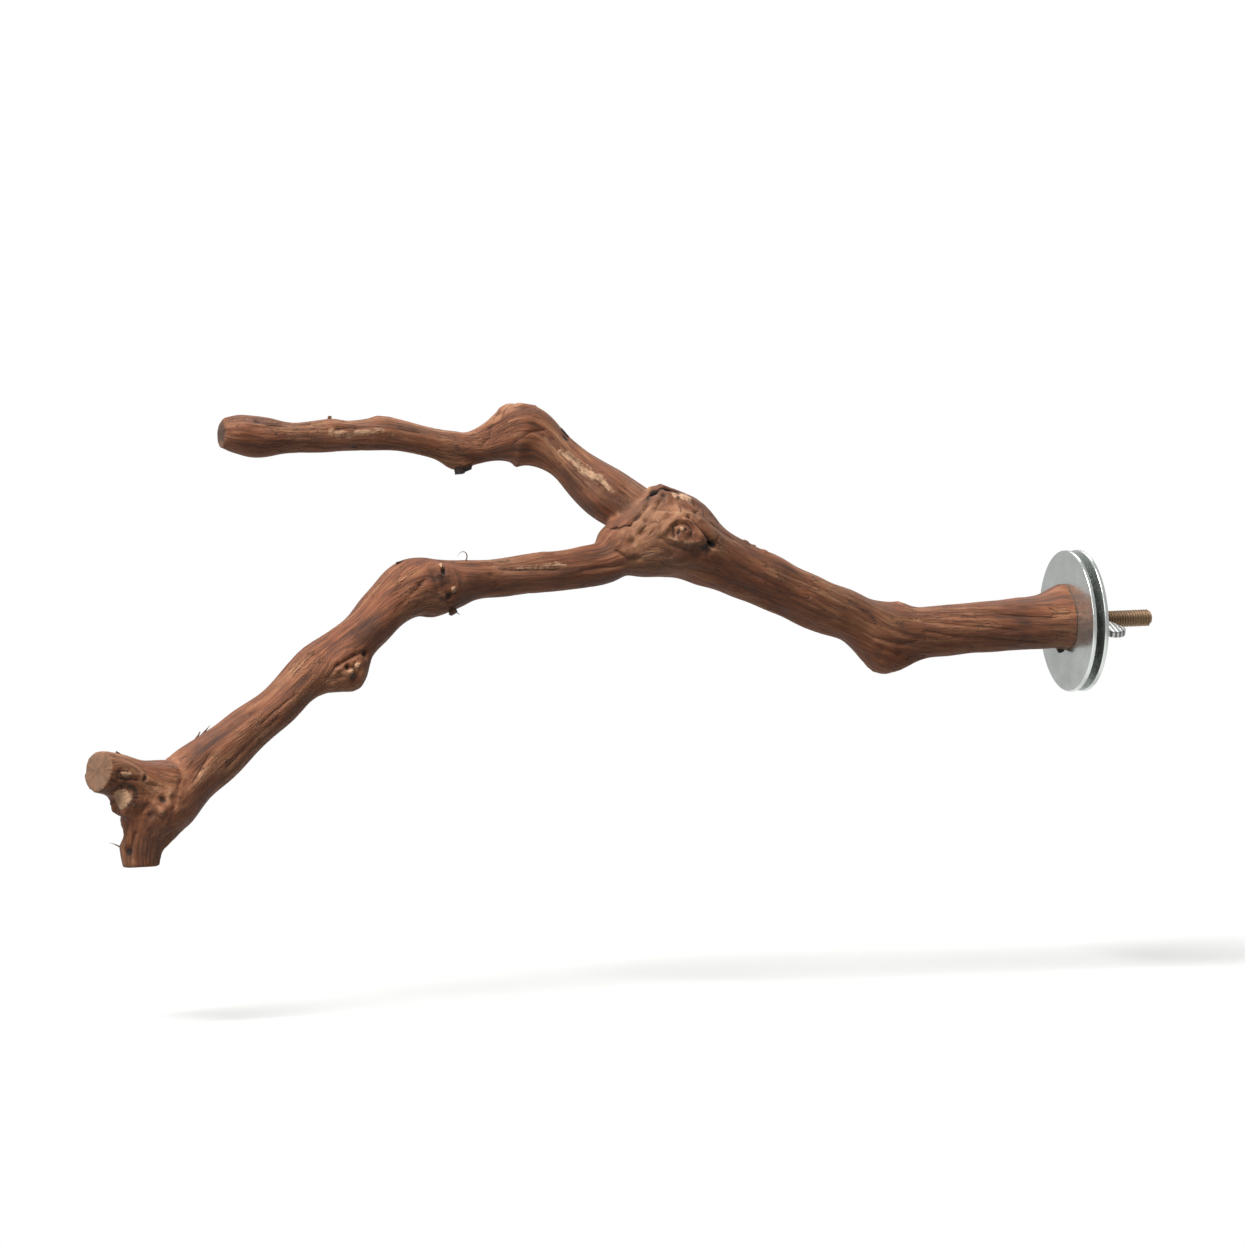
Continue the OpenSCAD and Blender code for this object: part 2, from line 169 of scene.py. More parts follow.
# Swellings, hollows and patches
SPOTS = [
    # The fork: the hollow on top, painted dark as shade, with its raised rim, pale scars beside it,
    # the pit by the crack
    Spot("stem", 163.4, -11, 4.6, 1.0, 0, 0),
    Spot("stem", 165.2, -9, 1.5, -1.3, 1.0, 0, 1.2),
    Spot("stem", 161.9, -8, 1.2, -0.9, 0.95, 0, 1.5),
    Spot("stem", 163.3, -19, 1.3, -0.6, 0.7, 0, 0.7),
    Spot("stem", 165.2, -21, 1.6, 0.5, 0, 0.3),
    Spot("stem", 161.6, -18, 1.7, 0.4, 0, 0.75, 0.9),
    Spot("stem", 159.0, -15, 2.5, 0.3, 0, 0.72, 1.3),
    Spot("stem", 158.2, -23, 1.4, -0.3, 0, 0.45, 1.4),
    Spot("stem", 162.1, -80, 0.65, -0.5, 1.0, 0),
    Spot("stem", 160.0, -75, 0.6, -0.5, 0.9, 0),
    # The pit and the dips below the eye, darkened as painted shade
    Spot("stem", 148.0, -78, 1.9, -2.2, 1.0, 0, 1.4),
    Spot("stem", 150.6, -88, 3.0, -1.3, 0.8, 0),
    Spot("stem", 153.4, -97, 3.4, -0.9, 0.5, 0),
    Spot("stem", 158.0, -118, 4.0, 0.5, 0.1, 0),
    Spot("stem", 166.8, -66, 3.0, 0.9, 0, 0.12),
    Spot("stem", 172.2, -50, 2.6, 0.9, 0, 0.12),
    Spot("stem", 168.3, -39, 2.2, 0.9, 0, 0.1),
    Spot("stem", 164.6, -52, 2.4, 0.8, 0, 0.1),
    Spot("stem", 176.0, -42, 2.6, 0.8, 0, 0),
    Spot("stem", 168.8, -49, 1.0, -0.9, 0.4, 0, 0.7),
    Spot("stem", 170.6, -31, 1.7, -0.8, 0.5, 0, 1.2),
    Spot("stem", 173.0, -63, 1.4, -0.9, 0.32, 0, 1.5),
    Spot("stem", 176.0, -68, 1.4, -0.9, 0.4, 0),
    # Flat patches that only darken: painted shade where the fork lies in shadow
    Spot("stem", 155.6, -46, 4.6, 0, 0.38, 0),
    Spot("stem", 146.0, -56, 6.0, 0, 0.3, 0),
    Spot("stem", 153.6, -30, 4.4, 0, 0.3, 0),
    Spot("stem", 169.0, -120, 5.4, 0, 0.4, 0, 1.6),
    Spot("stem", 179.8, -56, 3.2, 0.8, 0, 0),
    Spot("stem", 180.4, -84, 2.6, 0.7, 0, 0),
    Spot("stem", 166.0, -108, 1.5, -0.4, 0.3, 0, 2),
    # The knee of the lower limb
    Spot("stem", 257.4, -58, 1.3, -1.2, 0.8, 0),
    Spot("stem", 256.2, -112, 1.5, -1.2, 0.8, 0),
    Spot("stem", 267.4, -69, 0.9, -0.6, 0.8, 0),
    Spot("stem", 263.0, -84, 2.6, 0.5, 0, 0),
    # Dips of the knee, darkened as painted shade
    Spot("stem", 256.8, -74, 3.0, -0.5, 0.45, 0, 0.8),
    Spot("stem", 258.4, -92, 2.4, -0.4, 0.4, 0),
    Spot("stem", 250.0, -74, 2.2, -0.6, 0.2, 0),
    Spot("stem", 237.0, -72, 1.0, -0.4, 0.6, 0, 1.6),
    Spot("stem", 211.9, -16, 2.0, 0.5, 0, 0.1, 2),
    # The burl on the side of the lower limb
    Spot("stem", 308.2, -106, 1.4, -1.2, 0.7, 0),
    Spot("stem", 307.4, -126, 1.9, -1.2, 0.7, 0),
    Spot("stem", 299.0, -118, 1.5, -1.2, 0.65, 0, 1.4),
    Spot("stem", 312.4, -124, 2.4, 0.7, 0, 0),
    Spot("stem", 304.0, -132, 2.0, 0.6, 0, 0),
    # Flat patches that only darken: painted shade on the lower limb's shaded side
    Spot("stem", 292.0, -84, 5.0, 0, 0.4, 0, 2.2),
    Spot("stem", 330.0, -118, 5.0, 0, 0.3, 0, 2.6),
    # The head
    # Flat patches that only darken: painted shade where the head lies in shadow
    Spot("stem", 401.0, -90, 6.6, 0, 0.42, 0, 1.4),
    Spot("stem", 409.5, -68, 4.6, 0, 0.42, 0),
    Spot("stub", 14.2, -72, 1.2, -0.9, 0.8, 0, 0.7),
    Spot("stem", 393.6, -67, 1.9, -0.9, 0.75, 0, 0.7),
    # A raised bump whose pale colour is a painted highlight
    Spot("stem", 395.6, -80, 1.8, 1.0, 0, 0.35),
    Spot("stem", 398.2, -65, 1.5, -0.7, 0.6, 0),
    Spot("stem", 390.0, -64, 1.8, 0.6, 0, 0.4),
    Spot("stem", 405.0, 24, 4.2, -2.6, 0.1, 0, 0.8),
    Spot("stem", 404.0, -158, 4.0, 1.2, 0, 0, 1.4),
    Spot("stem", 380.0, -84, 3.4, 0.5, 0, 0.15, 1.6),
    Spot("stem", 385.0, -96, 2.6, 0.5, 0.1, 0),
    Spot("stem", 402.0, -84, 1.6, -0.5, 0.4, 0, 2),
    Spot("stem", 409.0, -30, 1.5, -1.2, 0.8, 0, 1.3),
    # The upper limb: the burl's folds, the spur, the far end
    Spot("upper", 71.6, -8, 1.3, -0.7, 0.8, 0, 1.5),
    Spot("upper", 74.0, -20, 1.6, 0.5, 0, 0.25),
    Spot("upper", 66.0, -30, 1.2, -0.4, 0.4, 0, 3),
    Spot("upper", 50.8, -42, 0.9, -0.6, 0.9, 0, 1.8),
    Spot("upper", 86.0, -158, 2.4, 0.8, 0.6, 0),
    Spot("upper", 131.1, -136, 1.1, -0.5, 0.8, 0, 1.6),
    Spot("upper", 170.9, -36, 1.0, -0.5, 0.7, 0, 1.6),
    Spot("upper", 119.9, 0, 2.4, 0.5, 0, 0.1),
    # Painted shade: dark patches under the limb near the fork, and on its far end face
    Spot("upper", 37.0, -104, 5.0, -0.3, 0.5, 0, 2.0),
    Spot("upper", 23.0, -106, 4.8, 0, 0.48, 0, 1.6),
    Spot("upper", -0.5, 0, 5.0, 0, 0.6, 0),
    Spot("upper", 176.0, -70, 2.0, 0.4, 0, 0.2, 1.5),
    # The trunk: the burl's tip and pit, the bumps on its back, the streaks by the washer
    Spot("stem", 69.8, -152, 2.6, 0.4, 0, 0.3),
    Spot("stem", 66.0, -126, 1.3, -0.8, 0.5, 0, 1.6),
    Spot("stem", 74.0, -120, 2.4, 0.5, 0, 0.15),
    Spot("stem", 126.0, -24, 1.5, 0.6, 0.1, 0),
    Spot("stem", 132.0, -18, 1.5, 0.6, 0.1, 0.1),
    # The side away from the viewer
    Spot("stem", 168.0, 84, 2.6, -1.3, 0.9, 0),
    Spot("stem", 235.0, 122, 1.5, -0.9, 0.9, 0),
    Spot("stem", 268.0, 96, 2.0, -0.8, 0.6, 0, 1.6),
    Spot("stem", 337.0, 106, 1.4, -0.9, 0.9, 0),
    Spot("stem", 392.0, 96, 2.4, -1.1, 0.8, 0),
    Spot("upper", 44.0, 110, 1.6, -0.7, 0.7, 0, 1.5),
    Spot("upper", 79.0, 132, 1.4, -0.7, 0.8, 0),
    Spot("upper", 150.0, 96, 1.5, 0.5, 0, 0.4),
]

# Torn roots of shoots
SCARS = [
    Scar("stem", 161.5, -74, 1.1, 0.15, 330, 0.2, 0.7),
    Scar("stem", 257.2, -45, 1.5, 0.8, 225, 0.4, 0.75, 0.85),
    Scar("stem", 255.4, -99, 1.3, 0.5, 290, 0.4, 0.62),
    Scar("stem", 308.1, -115, 1.2, 0.6, 160, 0.5, 0.7),
    Scar("stem", 303.4, -114, 1.0, 0.6, 60, 0.4, 0.7, 1.3),
    Scar("stub", 21.6, -78, 1.8, 0.2, 250, 0.3, 0.62, 1.5),
    Scar("snag", -2.6, 300, 4.1, 0.5, 315, 0.35, 1.0),
    Scar("stem", 118.0, 148, 1.7, 0.8, 20, 0.6, 0.6),
    Scar("stem", 232.0, 110, 1.5, 0.8, 60, 0.6, 0.7),
    Scar("stem", 334.0, 120, 1.8, 0.8, 200, 0.6, 0.7),
    Scar("stem", 388.0, 108, 1.7, 0.7, 40, 0.6, 0.7),
    Scar("upper", 76.0, 120, 1.7, 0.7, 10, 0.5, 0.6),
]

# Cracks, creases and strips where the bark has come off. The darkness of a crack or crease is painted shade.
LINES = [
    # The eye of the fork: a ring round it, deepest on the left, with lids above and bare wood below
    Line("stem", [(163.1, -84), (163.8, -78), (163.4, -72), (162.2, -68)], 0.5, -0.8, 0.9, 0),
    Line("stem", [(162.2, -68), (160.6, -66), (159.2, -68), (158.2, -73), (157.8, -80)], 0.35, -0.5, 0.6, 0),
    Line("stem", [(166.2, -76), (165.2, -67), (162.0, -61), (158.2, -62), (155.4, -70), (153.0, -77)],
         0.9, 0.5, 0, 0.25),
    Line("stem", [(164.3, -86), (161.6, -91), (158.8, -91), (155.2, -86), (152.4, -81)], 0.85, 0.5, 0, 0.5),
    Line("stem", [(167.2, -84), (164.4, -96), (158.0, -100)], 0.5, -0.5, 0.4, 0),
    # The crack that runs down from the eye to the pit
    Line("stem", [(158.6, -55), (156.2, -62), (153.6, -70), (151.2, -75), (148.4, -77)], 0.5, -1.1, 0.9, 0),
    Line("stem", [(155.6, -52), (152.6, -60), (149.2, -68)], 0.8, 0.5, 0, 0.15),
    # The crease between the two limbs
    Line("stem", [(177.5, -13), (176.0, -25), (174.2, -35)], 0.55, -1.0, 0.9, 0),
    Line("stem", [(174.2, -35), (170.5, -29), (167.9, -31), (167.1, -22)], 0.5, -0.8, 0.5, 0),
    Line("stem", [(167.1, -22), (166.4, -15)], 0.45, -0.6, 0.4, 0),
    Line("stem", [(183.2, -64), (182.0, -80), (180.4, -94), (177.0, -104)], 0.7, -0.6, 0.5, 0),
    Line("stem", [(166.4, -10), (163.8, -8), (160.6, -7)], 0.8, -0.6, 0.9, 0),
    Line("stem", [(157.0, -24), (155.4, -32), (156.0, -40)], 0.4, -0.5, 0.5, 0),
    Line("stem", [(164.8, -28), (165.6, -37), (163.4, -46)], 0.4, -0.5, 0.4, 0),
    Line("stem", [(171.6, -58), (168.6, -55), (166.8, -60)], 0.4, -0.5, 0.5, 0),
    Line("stem", [(150.0, -46), (145.0, -44), (139.0, -38)], 0.45, -0.4, 0.4, 0),
    # The peeled streak of the upper limb
    Line("upper", [(49.6, -90), (45.0, -85), (42.4, -84), (39.4, -79)], 1.2, -0.3, 0, 0.78),
    Line("upper", [(38.0, -84), (35.4, -81), (33.6, -81), (31.6, -76)], 1.6, -0.4, 0, 1.0),
    Line("upper", [(29.4, -78), (27.0, -82), (25.0, -86)], 1.2, -0.3, 0, 0.8),
    Line("upper", [(46.6, -73), (41.0, -71), (36.0, -68)], 1.0, -0.2, 0, 0.6),
    Line("upper", [(56.0, -84), (52.0, -88)], 0.9, -0.2, 0, 0.45),
    Line("upper", [(39.6, -90), (36.0, -92), (31.6, -87)], 0.45, -0.4, 0.45, 0),
    Line("upper", [(30.0, -89), (25.6, -96), (22.6, -98)], 0.6, -0.4, 0.35, 0),
    # Tan flecks of its far half
    Line("upper", [(140.0, -72), (136.2, -78), (132.0, -86)], 1.3, -0.15, 0, 0.66),
    Line("upper", [(136.4, -95), (133.4, -93)], 0.8, -0.15, 0, 0.6),
    Line("upper", [(131.0, -80), (126.0, -77), (119.0, -72)], 1.3, -0.15, 0, 0.68),
    Line("upper", [(123.0, -86), (117.0, -82), (111.0, -84)], 0.9, -0.15, 0, 0.42),
    Line("upper", [(136.6, -62), (133.0, -60), (129.6, -61)], 0.4, -0.5, 0.8, 0),
    Line("upper", [(112.6, -56), (109.3, -58), (105.6, -57)], 0.4, -0.5, 0.7, 0),
    Line("upper", [(173.0, -62), (168.0, -58), (163.0, -60)], 0.4, -0.3, 0, 0.4),
    Line("upper", [(166.0, -50), (160.0, -46)], 0.4, -0.4, 0.5, 0),
    # Folds of the upper limb's burl
    Line("upper", [(62.0, -12), (65.6, -26), (66.0, -44), (62.6, -58)], 0.8, 0.5, 0, 0.1),
    Line("upper", [(66.2, -2), (69.4, -20), (71.0, -38)], 0.5, -0.6, 0.6, 0),
    Line("upper", [(74.8, -40), (76.6, -60), (80.8, -80)], 0.6, -0.4, 0.35, 0),
    Line("upper", [(58.0, -70), (63.0, -84), (70.0, -100)], 0.6, -0.4, 0.3, 0),
    # The lower limb before the knee
    Line("stem", [(209.8, -53), (207.4, -62), (204.8, -70)], 0.8, 0.15, 0, 0.8),
    Line("stem", [(223, -58), (216, -64), (210, -60)], 1.1, 0.1, 0, 0.6),
    Line("stem", [(230.6, -58), (222, -68), (214, -75), (209, -79)], 0.40, -0.5, 0.75, 0),
    Line("stem", [(198, -92), (190, -96), (184, -104)], 0.5, -0.4, 0.4, 0),
    # Folds of the knee
    Line("stem", [(253.2, -52), (252.0, -76), (252.6, -100)], 0.9, 0.5, 0, 0.1),
    Line("stem", [(262.0, -30), (260.6, -60), (261.4, -90)], 1.0, -0.4, 0.15, 0),
    Line("stem", [(278, -90), (270, -80), (264, -66)], 0.8, -0.4, 0.2, 0),
    Line("stem", [(276, -50), (268, -40), (262, -34)], 0.6, 0.3, 0, 0.25),
    # Round the side burl
    Line("stem", [(299.0, -112), (303.0, -98), (309.0, -95), (315.0, -102)], 0.6, -0.8, 0.75, 0),
    Line("stem", [(313.3, -100), (309.6, -98), (305.6, -100)], 0.7, 0.5, 0, 0.3),
    Line("stem", [(315.6, -112), (312.0, -116), (310.4, -108)], 0.4, -0.6, 0.7, 0),
    # The lower limb before the head
    Line("stem", [(347.6, -75), (354, -79), (362.4, -82)], 0.6, 0.15, 0, 0.3),
    Line("stem", [(340, -100), (352, -104), (364, -106)], 0.5, -0.5, 0.4, 0),
    Line("stem", [(318, -62), (324, -58), (332, -60)], 0.6, 0.1, 0, 0.25),
    Line("stem", [(330, -84), (338, -80), (346, -84)], 0.5, -0.4, 0.35, 0),
    Line("stem", [(368, -60), (374, -70), (380, -76)], 0.5, -0.4, 0.4, 0),
    # The head's folds
    Line("stub", [(24.0, -100), (22.4, -92), (19.6, -86), (16.6, -80)], 0.5, -0.8, 0.7, 0),
    Line("stub", [(16.6, -80), (12.4, -84), (8.6, -80)], 0.45, -0.5, 0.4, 0),
    Line("stub", [(25.4, -86), (24.4, -76), (21.0, -70)], 0.4, -0.6, 0.6, 0),
    Line("stem", [(399, -40), (404, -34), (408, -22)], 0.5, 0.4, 0, 0.35),
    Line("stem", [(404.6, -48), (408.2, -42), (411.6, -40)], 0.8, -0.8, 0.5, 0),
    # The trunk's long streaks
    Line("stem", [(16, -128), (30, -112), (44, -98), (58, -80)], 0.6, -0.4, 0.45, 0),
    Line("stem", [(22, -96), (36, -80), (48, -68), (58, -58)], 0.5, -0.35, 0.35, 0),
    Line("stem", [(8, -76), (18, -66), (30, -52)], 0.5, -0.35, 0.4, 0),
    Line("stem", [(9.4, -56), (6.8, -62), (8.2, -69), (3.0, -72)], 0.4, -0.4, 0.45, 0),
    Line("stem", [(88, -110), (104, -100), (122, -92), (138, -88)], 0.6, -0.35, 0.35, 0),
    Line("stem", [(92, -70), (106, -62), (116, -60)], 0.5, -0.3, 0.3, 0),
    Line("stem", [(56, -40), (66, -50), (78, -52)], 0.8, 0.3, 0, 0.2),
    Line("stem", [(60, -100), (66, -108), (76, -112)], 0.6, -0.5, 0.4, 0),
    # The side away from the viewer
    Line("stem", [(92, 60), (108, 70), (126, 78), (140, 82)], 0.6, -0.4, 0.5, 0),
    Line("stem", [(30, 100), (44, 112), (60, 120)], 0.6, -0.4, 0.5, 0),
    Line("stem", [(172, 80), (168, 94), (162, 96), (160, 84), (164, 76)], 0.5, -0.6, 0.7, 0),
    Line("stem", [(196, 70), (206, 76), (220, 78)], 0.7, -0.3, 0, 0.6),
    Line("stem", [(300, 80), (316, 88), (328, 90)], 0.6, -0.4, 0.6, 0),
    Line("stem", [(350, 74), (358, 78), (366, 76)], 0.8, -0.3, 0, 0.6),
    Line("upper", [(96, 88), (108, 92), (120, 90)], 0.6, -0.3, 0, 0.6),
    Line("upper", [(52, 76), (60, 88), (68, 92)], 0.5, -0.4, 0.6, 0),
]

# Splinters, hairs and broken nubs that stand off the bark. Lean is the angle from straight out towards
# the limb's tip, turn the angle from there round the limb, and curl the bend over the length, all in
# degrees. Their darkening is partly their own dark colour and partly painted shade, strongest on the
# nubs and thorns under the limbs.
Sliver = namedtuple("Sliver", "limb along angle lean turn length radius curl hollow")
SLIVERS = [
    # The curled hair on top of the knee, and its thorns below
    Sliver("stem", 243.6, -8, -75, 0, 8.0, 0.28, 240, 0.1),
    Sliver("stem", 255.2, -147, -30, 15, 1.8, 1.7, 20, 0.6),
    Sliver("stem", 254.4, -145, -52, 10, 3.8, 0.5, 10, 0.5),
    Sliver("stem", 264.2, 6, 78, 0, 2.6, 0.6, 0, 0.7),
    # Nubs of the spur under the upper limb
    Sliver("upper", 89.2, -163, -8, 0, 1.8, 2.1, 0, 0.85),
    Sliver("upper", 86.0, -157, -20, 10, 1.4, 1.8, 0, 0.9),
    # A nub and a flake along its back
    Sliver("upper", 136.9, 8, -8, 0, 1.2, 0.8, 0, 0),
    Sliver("upper", 51.0, -28, 72, 0, 3.0, 0.7, 10, 0.9),
    # Raised fibres before the head, and the hairs of the head
    Sliver("stem", 362.4, 12, -78, 0, 4.6, 0.5, -6, 0.3),
    Sliver("stem", 366.6, 8, -76, 0, 3.0, 0.5, 6, 0.3),
    Sliver("stem", 408.0, 24, -28, 0, 4.2, 0.3, 20, 0.1),
    Sliver("stub", 20.0, 6, 70, 0, 2.2, 0.5, 10, 0.6),
    # Fibres of the trunk, and the nub below the washer
    Sliver("stem", 131.0, 0, -80, 0, 2.2, 0.6, 6, 0.2),
    Sliver("stem", 123.4, 4, -80, 0, 2.4, 0.6, 6, 0.2),
    Sliver("stem", 3.4, 176, -20, 0, 1.4, 1.4, 0, 0.95),
]
SLIVER_STEPS = 10
SLIVER_SIDES = 8
# A stubby sliver keeps most of its thickness to its end, and one this many radii long tapers to a point
SLENDER = 9


def colour(red, green, blue):
    """A colour written as a screen shows it, from 0 to 255, as the light values that Blender takes."""
    shares = np.array([red, green, blue]) / 255
    low = shares / 12.92
    high = ((shares + 0.055) / 1.055) ** 2.4
    return tuple(float(v) for v in np.where(shares <= 0.04045, low, high))


def colour_setting(name, description, default):
    """A colour in the panel."""
    return FloatVectorProperty(
        name=name, description=description, default=default, subtype="COLOR", size=3, min=0, max=1
    )


def length_setting(name, description, millimetres):
    """A length in the panel, given here in millimetres."""
    return FloatProperty(
        name=name, description=description, default=millimetres * MM, unit="LENGTH", precision=5
    )


class BarkSettings(bpy.types.PropertyGroup):
    """Sizes and colours of the vine wood"""

    mesh_step: length_setting("Mesh step", "Spacing of the bark's mesh where it is plain", 0.8)
    rib_height: length_setting("Rib height", "How far the bark's broad ribs stand out", 0.28)
    lump_height: length_setting("Lump height", "How far its slow swellings stand out", 0.4)
    wrinkle_height: length_setting("Wrinkle height", "Height of the wrinkles on a burl", 0.45)
    fibre_height: length_setting("Fibre height", "How far its fibres stand out", 0.5)
    crack_depth: length_setting("Crack depth", "Depth of the fine cracks in the bark", 0.6)
    # Deep brown is the bark's darkest strands, and also the painted shade in its fissures
    deep_brown: colour_setting("Deep brown", "Bark in creases and fissures", colour(58, 37, 27))
    dark_brown: colour_setting("Dark brown", "Darker strands of the bark", colour(90, 56, 39))
    red_brown: colour_setting("Red brown", "The bark's main colour", colour(134, 82, 54))
    light_brown: colour_setting("Light brown", "Lighter strands of the bark", colour(170, 119, 85))
    pale_strand: colour_setting("Pale strand", "Dry fibres that catch the light", colour(202, 160, 126))
    grey_brown: colour_setting("Grey brown", "Weathered patches of the bark", colour(138, 110, 85))
    bare_wood: colour_setting("Bare wood", "Wood where the bark has come off", colour(202, 153, 117))
    fresh_wood: colour_setting("Fresh wood", "The palest torn fibres", colour(226, 186, 150))
    # Near-black: painted shade in pits, cracks, creases and shaded patches, and the dark nubs' own colour
    hollow: colour_setting("Hollow", "Inside of pits and cracks", colour(32, 21, 15))
    sawn_face: colour_setting("Sawn face", "End grain where the branch was sawn", colour(160, 125, 99))


class HardwareSettings(bpy.types.PropertyGroup):
    """Sizes and colours of the bolt, the washers and the wing nut"""

    thread_pitch: length_setting("Thread pitch", "Advance of the machine thread in one turn", 1.0)
    thread_depth: length_setting("Thread depth", "Depth of the machine thread", 0.61)
    screw_pitch: length_setting("Wood thread pitch", "Advance of the wood thread in one turn", 2.5)
    screw_depth: length_setting("Wood thread depth", "Depth of the wood thread", 0.9)
    rim_round: length_setting("Rim rounding", "Rounding of a washer's rim", 0.45)
    hole_round: length_setting("Hole rounding", "Rounding of a washer's hole", 0.2)
    nut_step: length_setting("Nut mesh step", "Spacing of the wing nut's mesh", 0.26)
    zinc: colour_setting("Zinc", "Bright zinc plate of the washers", colour(222, 226, 223))
    nut_zinc: colour_setting("Nut zinc", "Plate of the cast wing nut", colour(200, 202, 200))
    bolt_steel: colour_setting("Bolt steel", "Dull brownish plate of the bolt", colour(146, 122, 98))


class StageSettings(bpy.types.PropertyGroup):
    """Floor, light and camera"""

    floor_drop: length_setting("Floor drop", "Height of the perch above the floor", 55)
    floor_colour: colour_setting("Floor", "Pale floor", colour(240, 240, 238))
    key_power: FloatProperty(name="Key power", description="Main soft light", default=64, unit="POWER")
    side_power: FloatProperty(
        name="Side power", description="Soft light from the left", default=3.2, unit="POWER"
    )
    rim_power: FloatProperty(
        name="Rim power", description="Soft light from behind", default=5, unit="POWER"
    )
    fill: FloatProperty(name="Fill", description="Light from all round", default=0.06, min=0)
    mirrored: FloatProperty(
        name="Mirrored", description="Brightness of the studio as the metal mirrors it", default=0.52, min=0
    )
    azimuth: FloatProperty(
        name="Azimuth", description="Turn of the camera", default=radians(-22), unit="ROTATION"
    )
    elevation: FloatProperty(
        name="Elevation", description="Camera's angle above level", default=radians(6), unit="ROTATION"
    )
    lens: FloatProperty(name="Lens", description="Focal length", default=900, unit="CAMERA")
    view_width: length_setting("View width", "Width that the picture takes in at the perch", 437)


def new_object(name, mesh):
    """An object in the scene that holds the mesh."""
    made = bpy.data.objects.new(name, mesh)
    bpy.context.scene.collection.objects.link(made)
    return made


def smooth_shaded(mesh):
    """Shades every face of the mesh smooth."""
    mesh.polygons.foreach_set("use_smooth", np.ones(len(mesh.polygons), bool))
    mesh.update()


def read_vectors(collection, name):
    """The vectors of a mesh's points or faces as an array."""
    flat = np.zeros(len(collection) * 3, np.float32)
    collection.foreach_get(name, flat)
    return flat.reshape(-1, 3).astype(float)


def unit(vectors):
    """The vectors at a length of 1."""
    return vectors / np.linalg.norm(vectors, axis=-1, keepdims=True)


def ease(share):
    """A smooth step from 0 to 1 as the share goes from 0 to 1."""
    held = np.clip(share, 0, 1)
    return held * held * (3 - 2 * held)


def nearness(distance, reach):
    """1 at no distance, falling smoothly to 0 at the reach."""
    return ease(1 - distance / reach)


# Whole numbers that scramble a cell's place into a steady random value
CELL_STEPS = np.array([374761393, 668265263, 1442695041])
SEED_STEP = 69069
SCRAMBLE = 1274126177
WORD = 0xFFFFFFFF


def scattered(cells, seed):
    """A number from -1 to 1 for each whole-numbered cell, the same on every run."""
    mixed = ((cells * CELL_STEPS).sum(1) + seed * SEED_STEP) & WORD
    mixed = ((mixed ^ (mixed >> 13)) * SCRAMBLE) & WORD
    mixed = ((mixed ^ (mixed >> 15)) * SCRAMBLE) & WORD
    mixed = mixed ^ (mixed >> 16)
    return mixed / WORD * 2 - 1


# Brings the noise's usual span to 1 each way
NOISE_SPAN = 1.9


def noise(points, seed):
    """Smooth noise at each row of points, with one cell to the unit. Each seed gives noise of its own."""
    base = np.floor(points).astype(np.int64)
    share = points - base
    easing = ease(share)
    total = np.zeros(len(points))
    for corner in product((0, 1), repeat=3):
        corner = np.array(corner)
        lean = np.stack([scattered(base + corner, seed + axis) for axis in range(3)], axis=1)
        weight = np.prod(np.where(corner == 1, easing, 1 - easing), axis=1)
        total += weight * (lean * (share - corner)).sum(1)
    return total * NOISE_SPAN


def layered(points, layers):
    """Noises added up, each by its share, its width in the points' unit and its seed."""
    return sum(share * noise(points / width, seed) for share, width, seed in layers)


# How far out from the middle line a ray to the bark starts, as a share of the limb's radius
START_SHARE = 0.45


class Limb:
    """A limb's middle line, sampled closely, with the directions ahead, to its top and to its back."""

    def __init__(self, places, lane):
        rows = np.array(places, float)
        samples = self.curve(rows)
        self.middle = samples[:, :3]
        self.radius = samples[:, 3]
        self.lane = lane
        gaps = np.linalg.norm(np.diff(self.middle, axis=0), axis=1)
        self.along = np.concatenate([[0], np.cumsum(gaps)])
        self.ahead = unit(np.gradient(self.middle, axis=0))
        self.top = unit(np.cross([0, 1, 0], self.ahead))
        self.back = np.cross(self.ahead, self.top)

    @staticmethod
    def curve(rows):
        """Points of a smooth curve through the rows, with the same number of steps in each span."""
        shares = np.linspace(0, 1, LINE_STEPS, endpoint=False)[:, None]
        last = len(rows) - 1
        spans = []
        for i in range(last):
            before = rows[max(i - 1, 0)]
            start = rows[i]
            end = rows[i + 1]
            after = rows[min(i + 2, last)]
            slope = end - before
            bend = 2 * before - 5 * start + 4 * end - after
            twist = 3 * start - before - 3 * end + after
            spans.append((2 * start + slope * shares + bend * shares**2 + twist * shares**3) / 2)
        return np.concatenate([*spans, rows[-1:]])

    def locate(self, points):
        """Distance along, angle round, distance out and that distance as a share of the radius."""
        squares = (self.middle**2).sum(1) - 2 * points @ self.middle.T
        squares -= squares.min(1, keepdims=True)
        weights = np.exp(-squares / (2 * LINE_BLEND**2))
        weights /= weights.sum(1, keepdims=True)

        def reach(directions):
            """How far each point lies from the middle line in a direction that changes along it."""
            past = (points * (weights @ directions)).sum(1)
            return past - weights @ (self.middle * directions).sum(1)

        top = reach(self.top)
        back = reach(self.back)
        share = np.linalg.norm(points - weights @ self.middle, axis=1) / (weights @ self.radius)
        return weights @ self.along + reach(self.ahead), np.arctan2(back, top), np.hypot(top, back), share

    def ray(self, along, angle):
        """Where a ray to the bark starts, and the directions out, ahead and round where it meets the bark.

        A negative distance is a place on the end face, where out is the limb's own direction and ahead and
        round are its top and its back.
        """
        i = -1 if along < 0 else int(np.abs(self.along - along).argmin())
        turn = radians(angle)
        way = cos(turn) * self.top[i] + sin(turn) * self.back[i]
        if along < 0:
            return self.middle[i] - along * way - self.ahead[i], self.ahead[i], self.top[i], self.back[i]
        start = self.middle[i] + way * self.radius[i] * START_SHARE
        return start, way, self.ahead[i], cos(turn) * self.back[i] - sin(turn) * self.top[i]


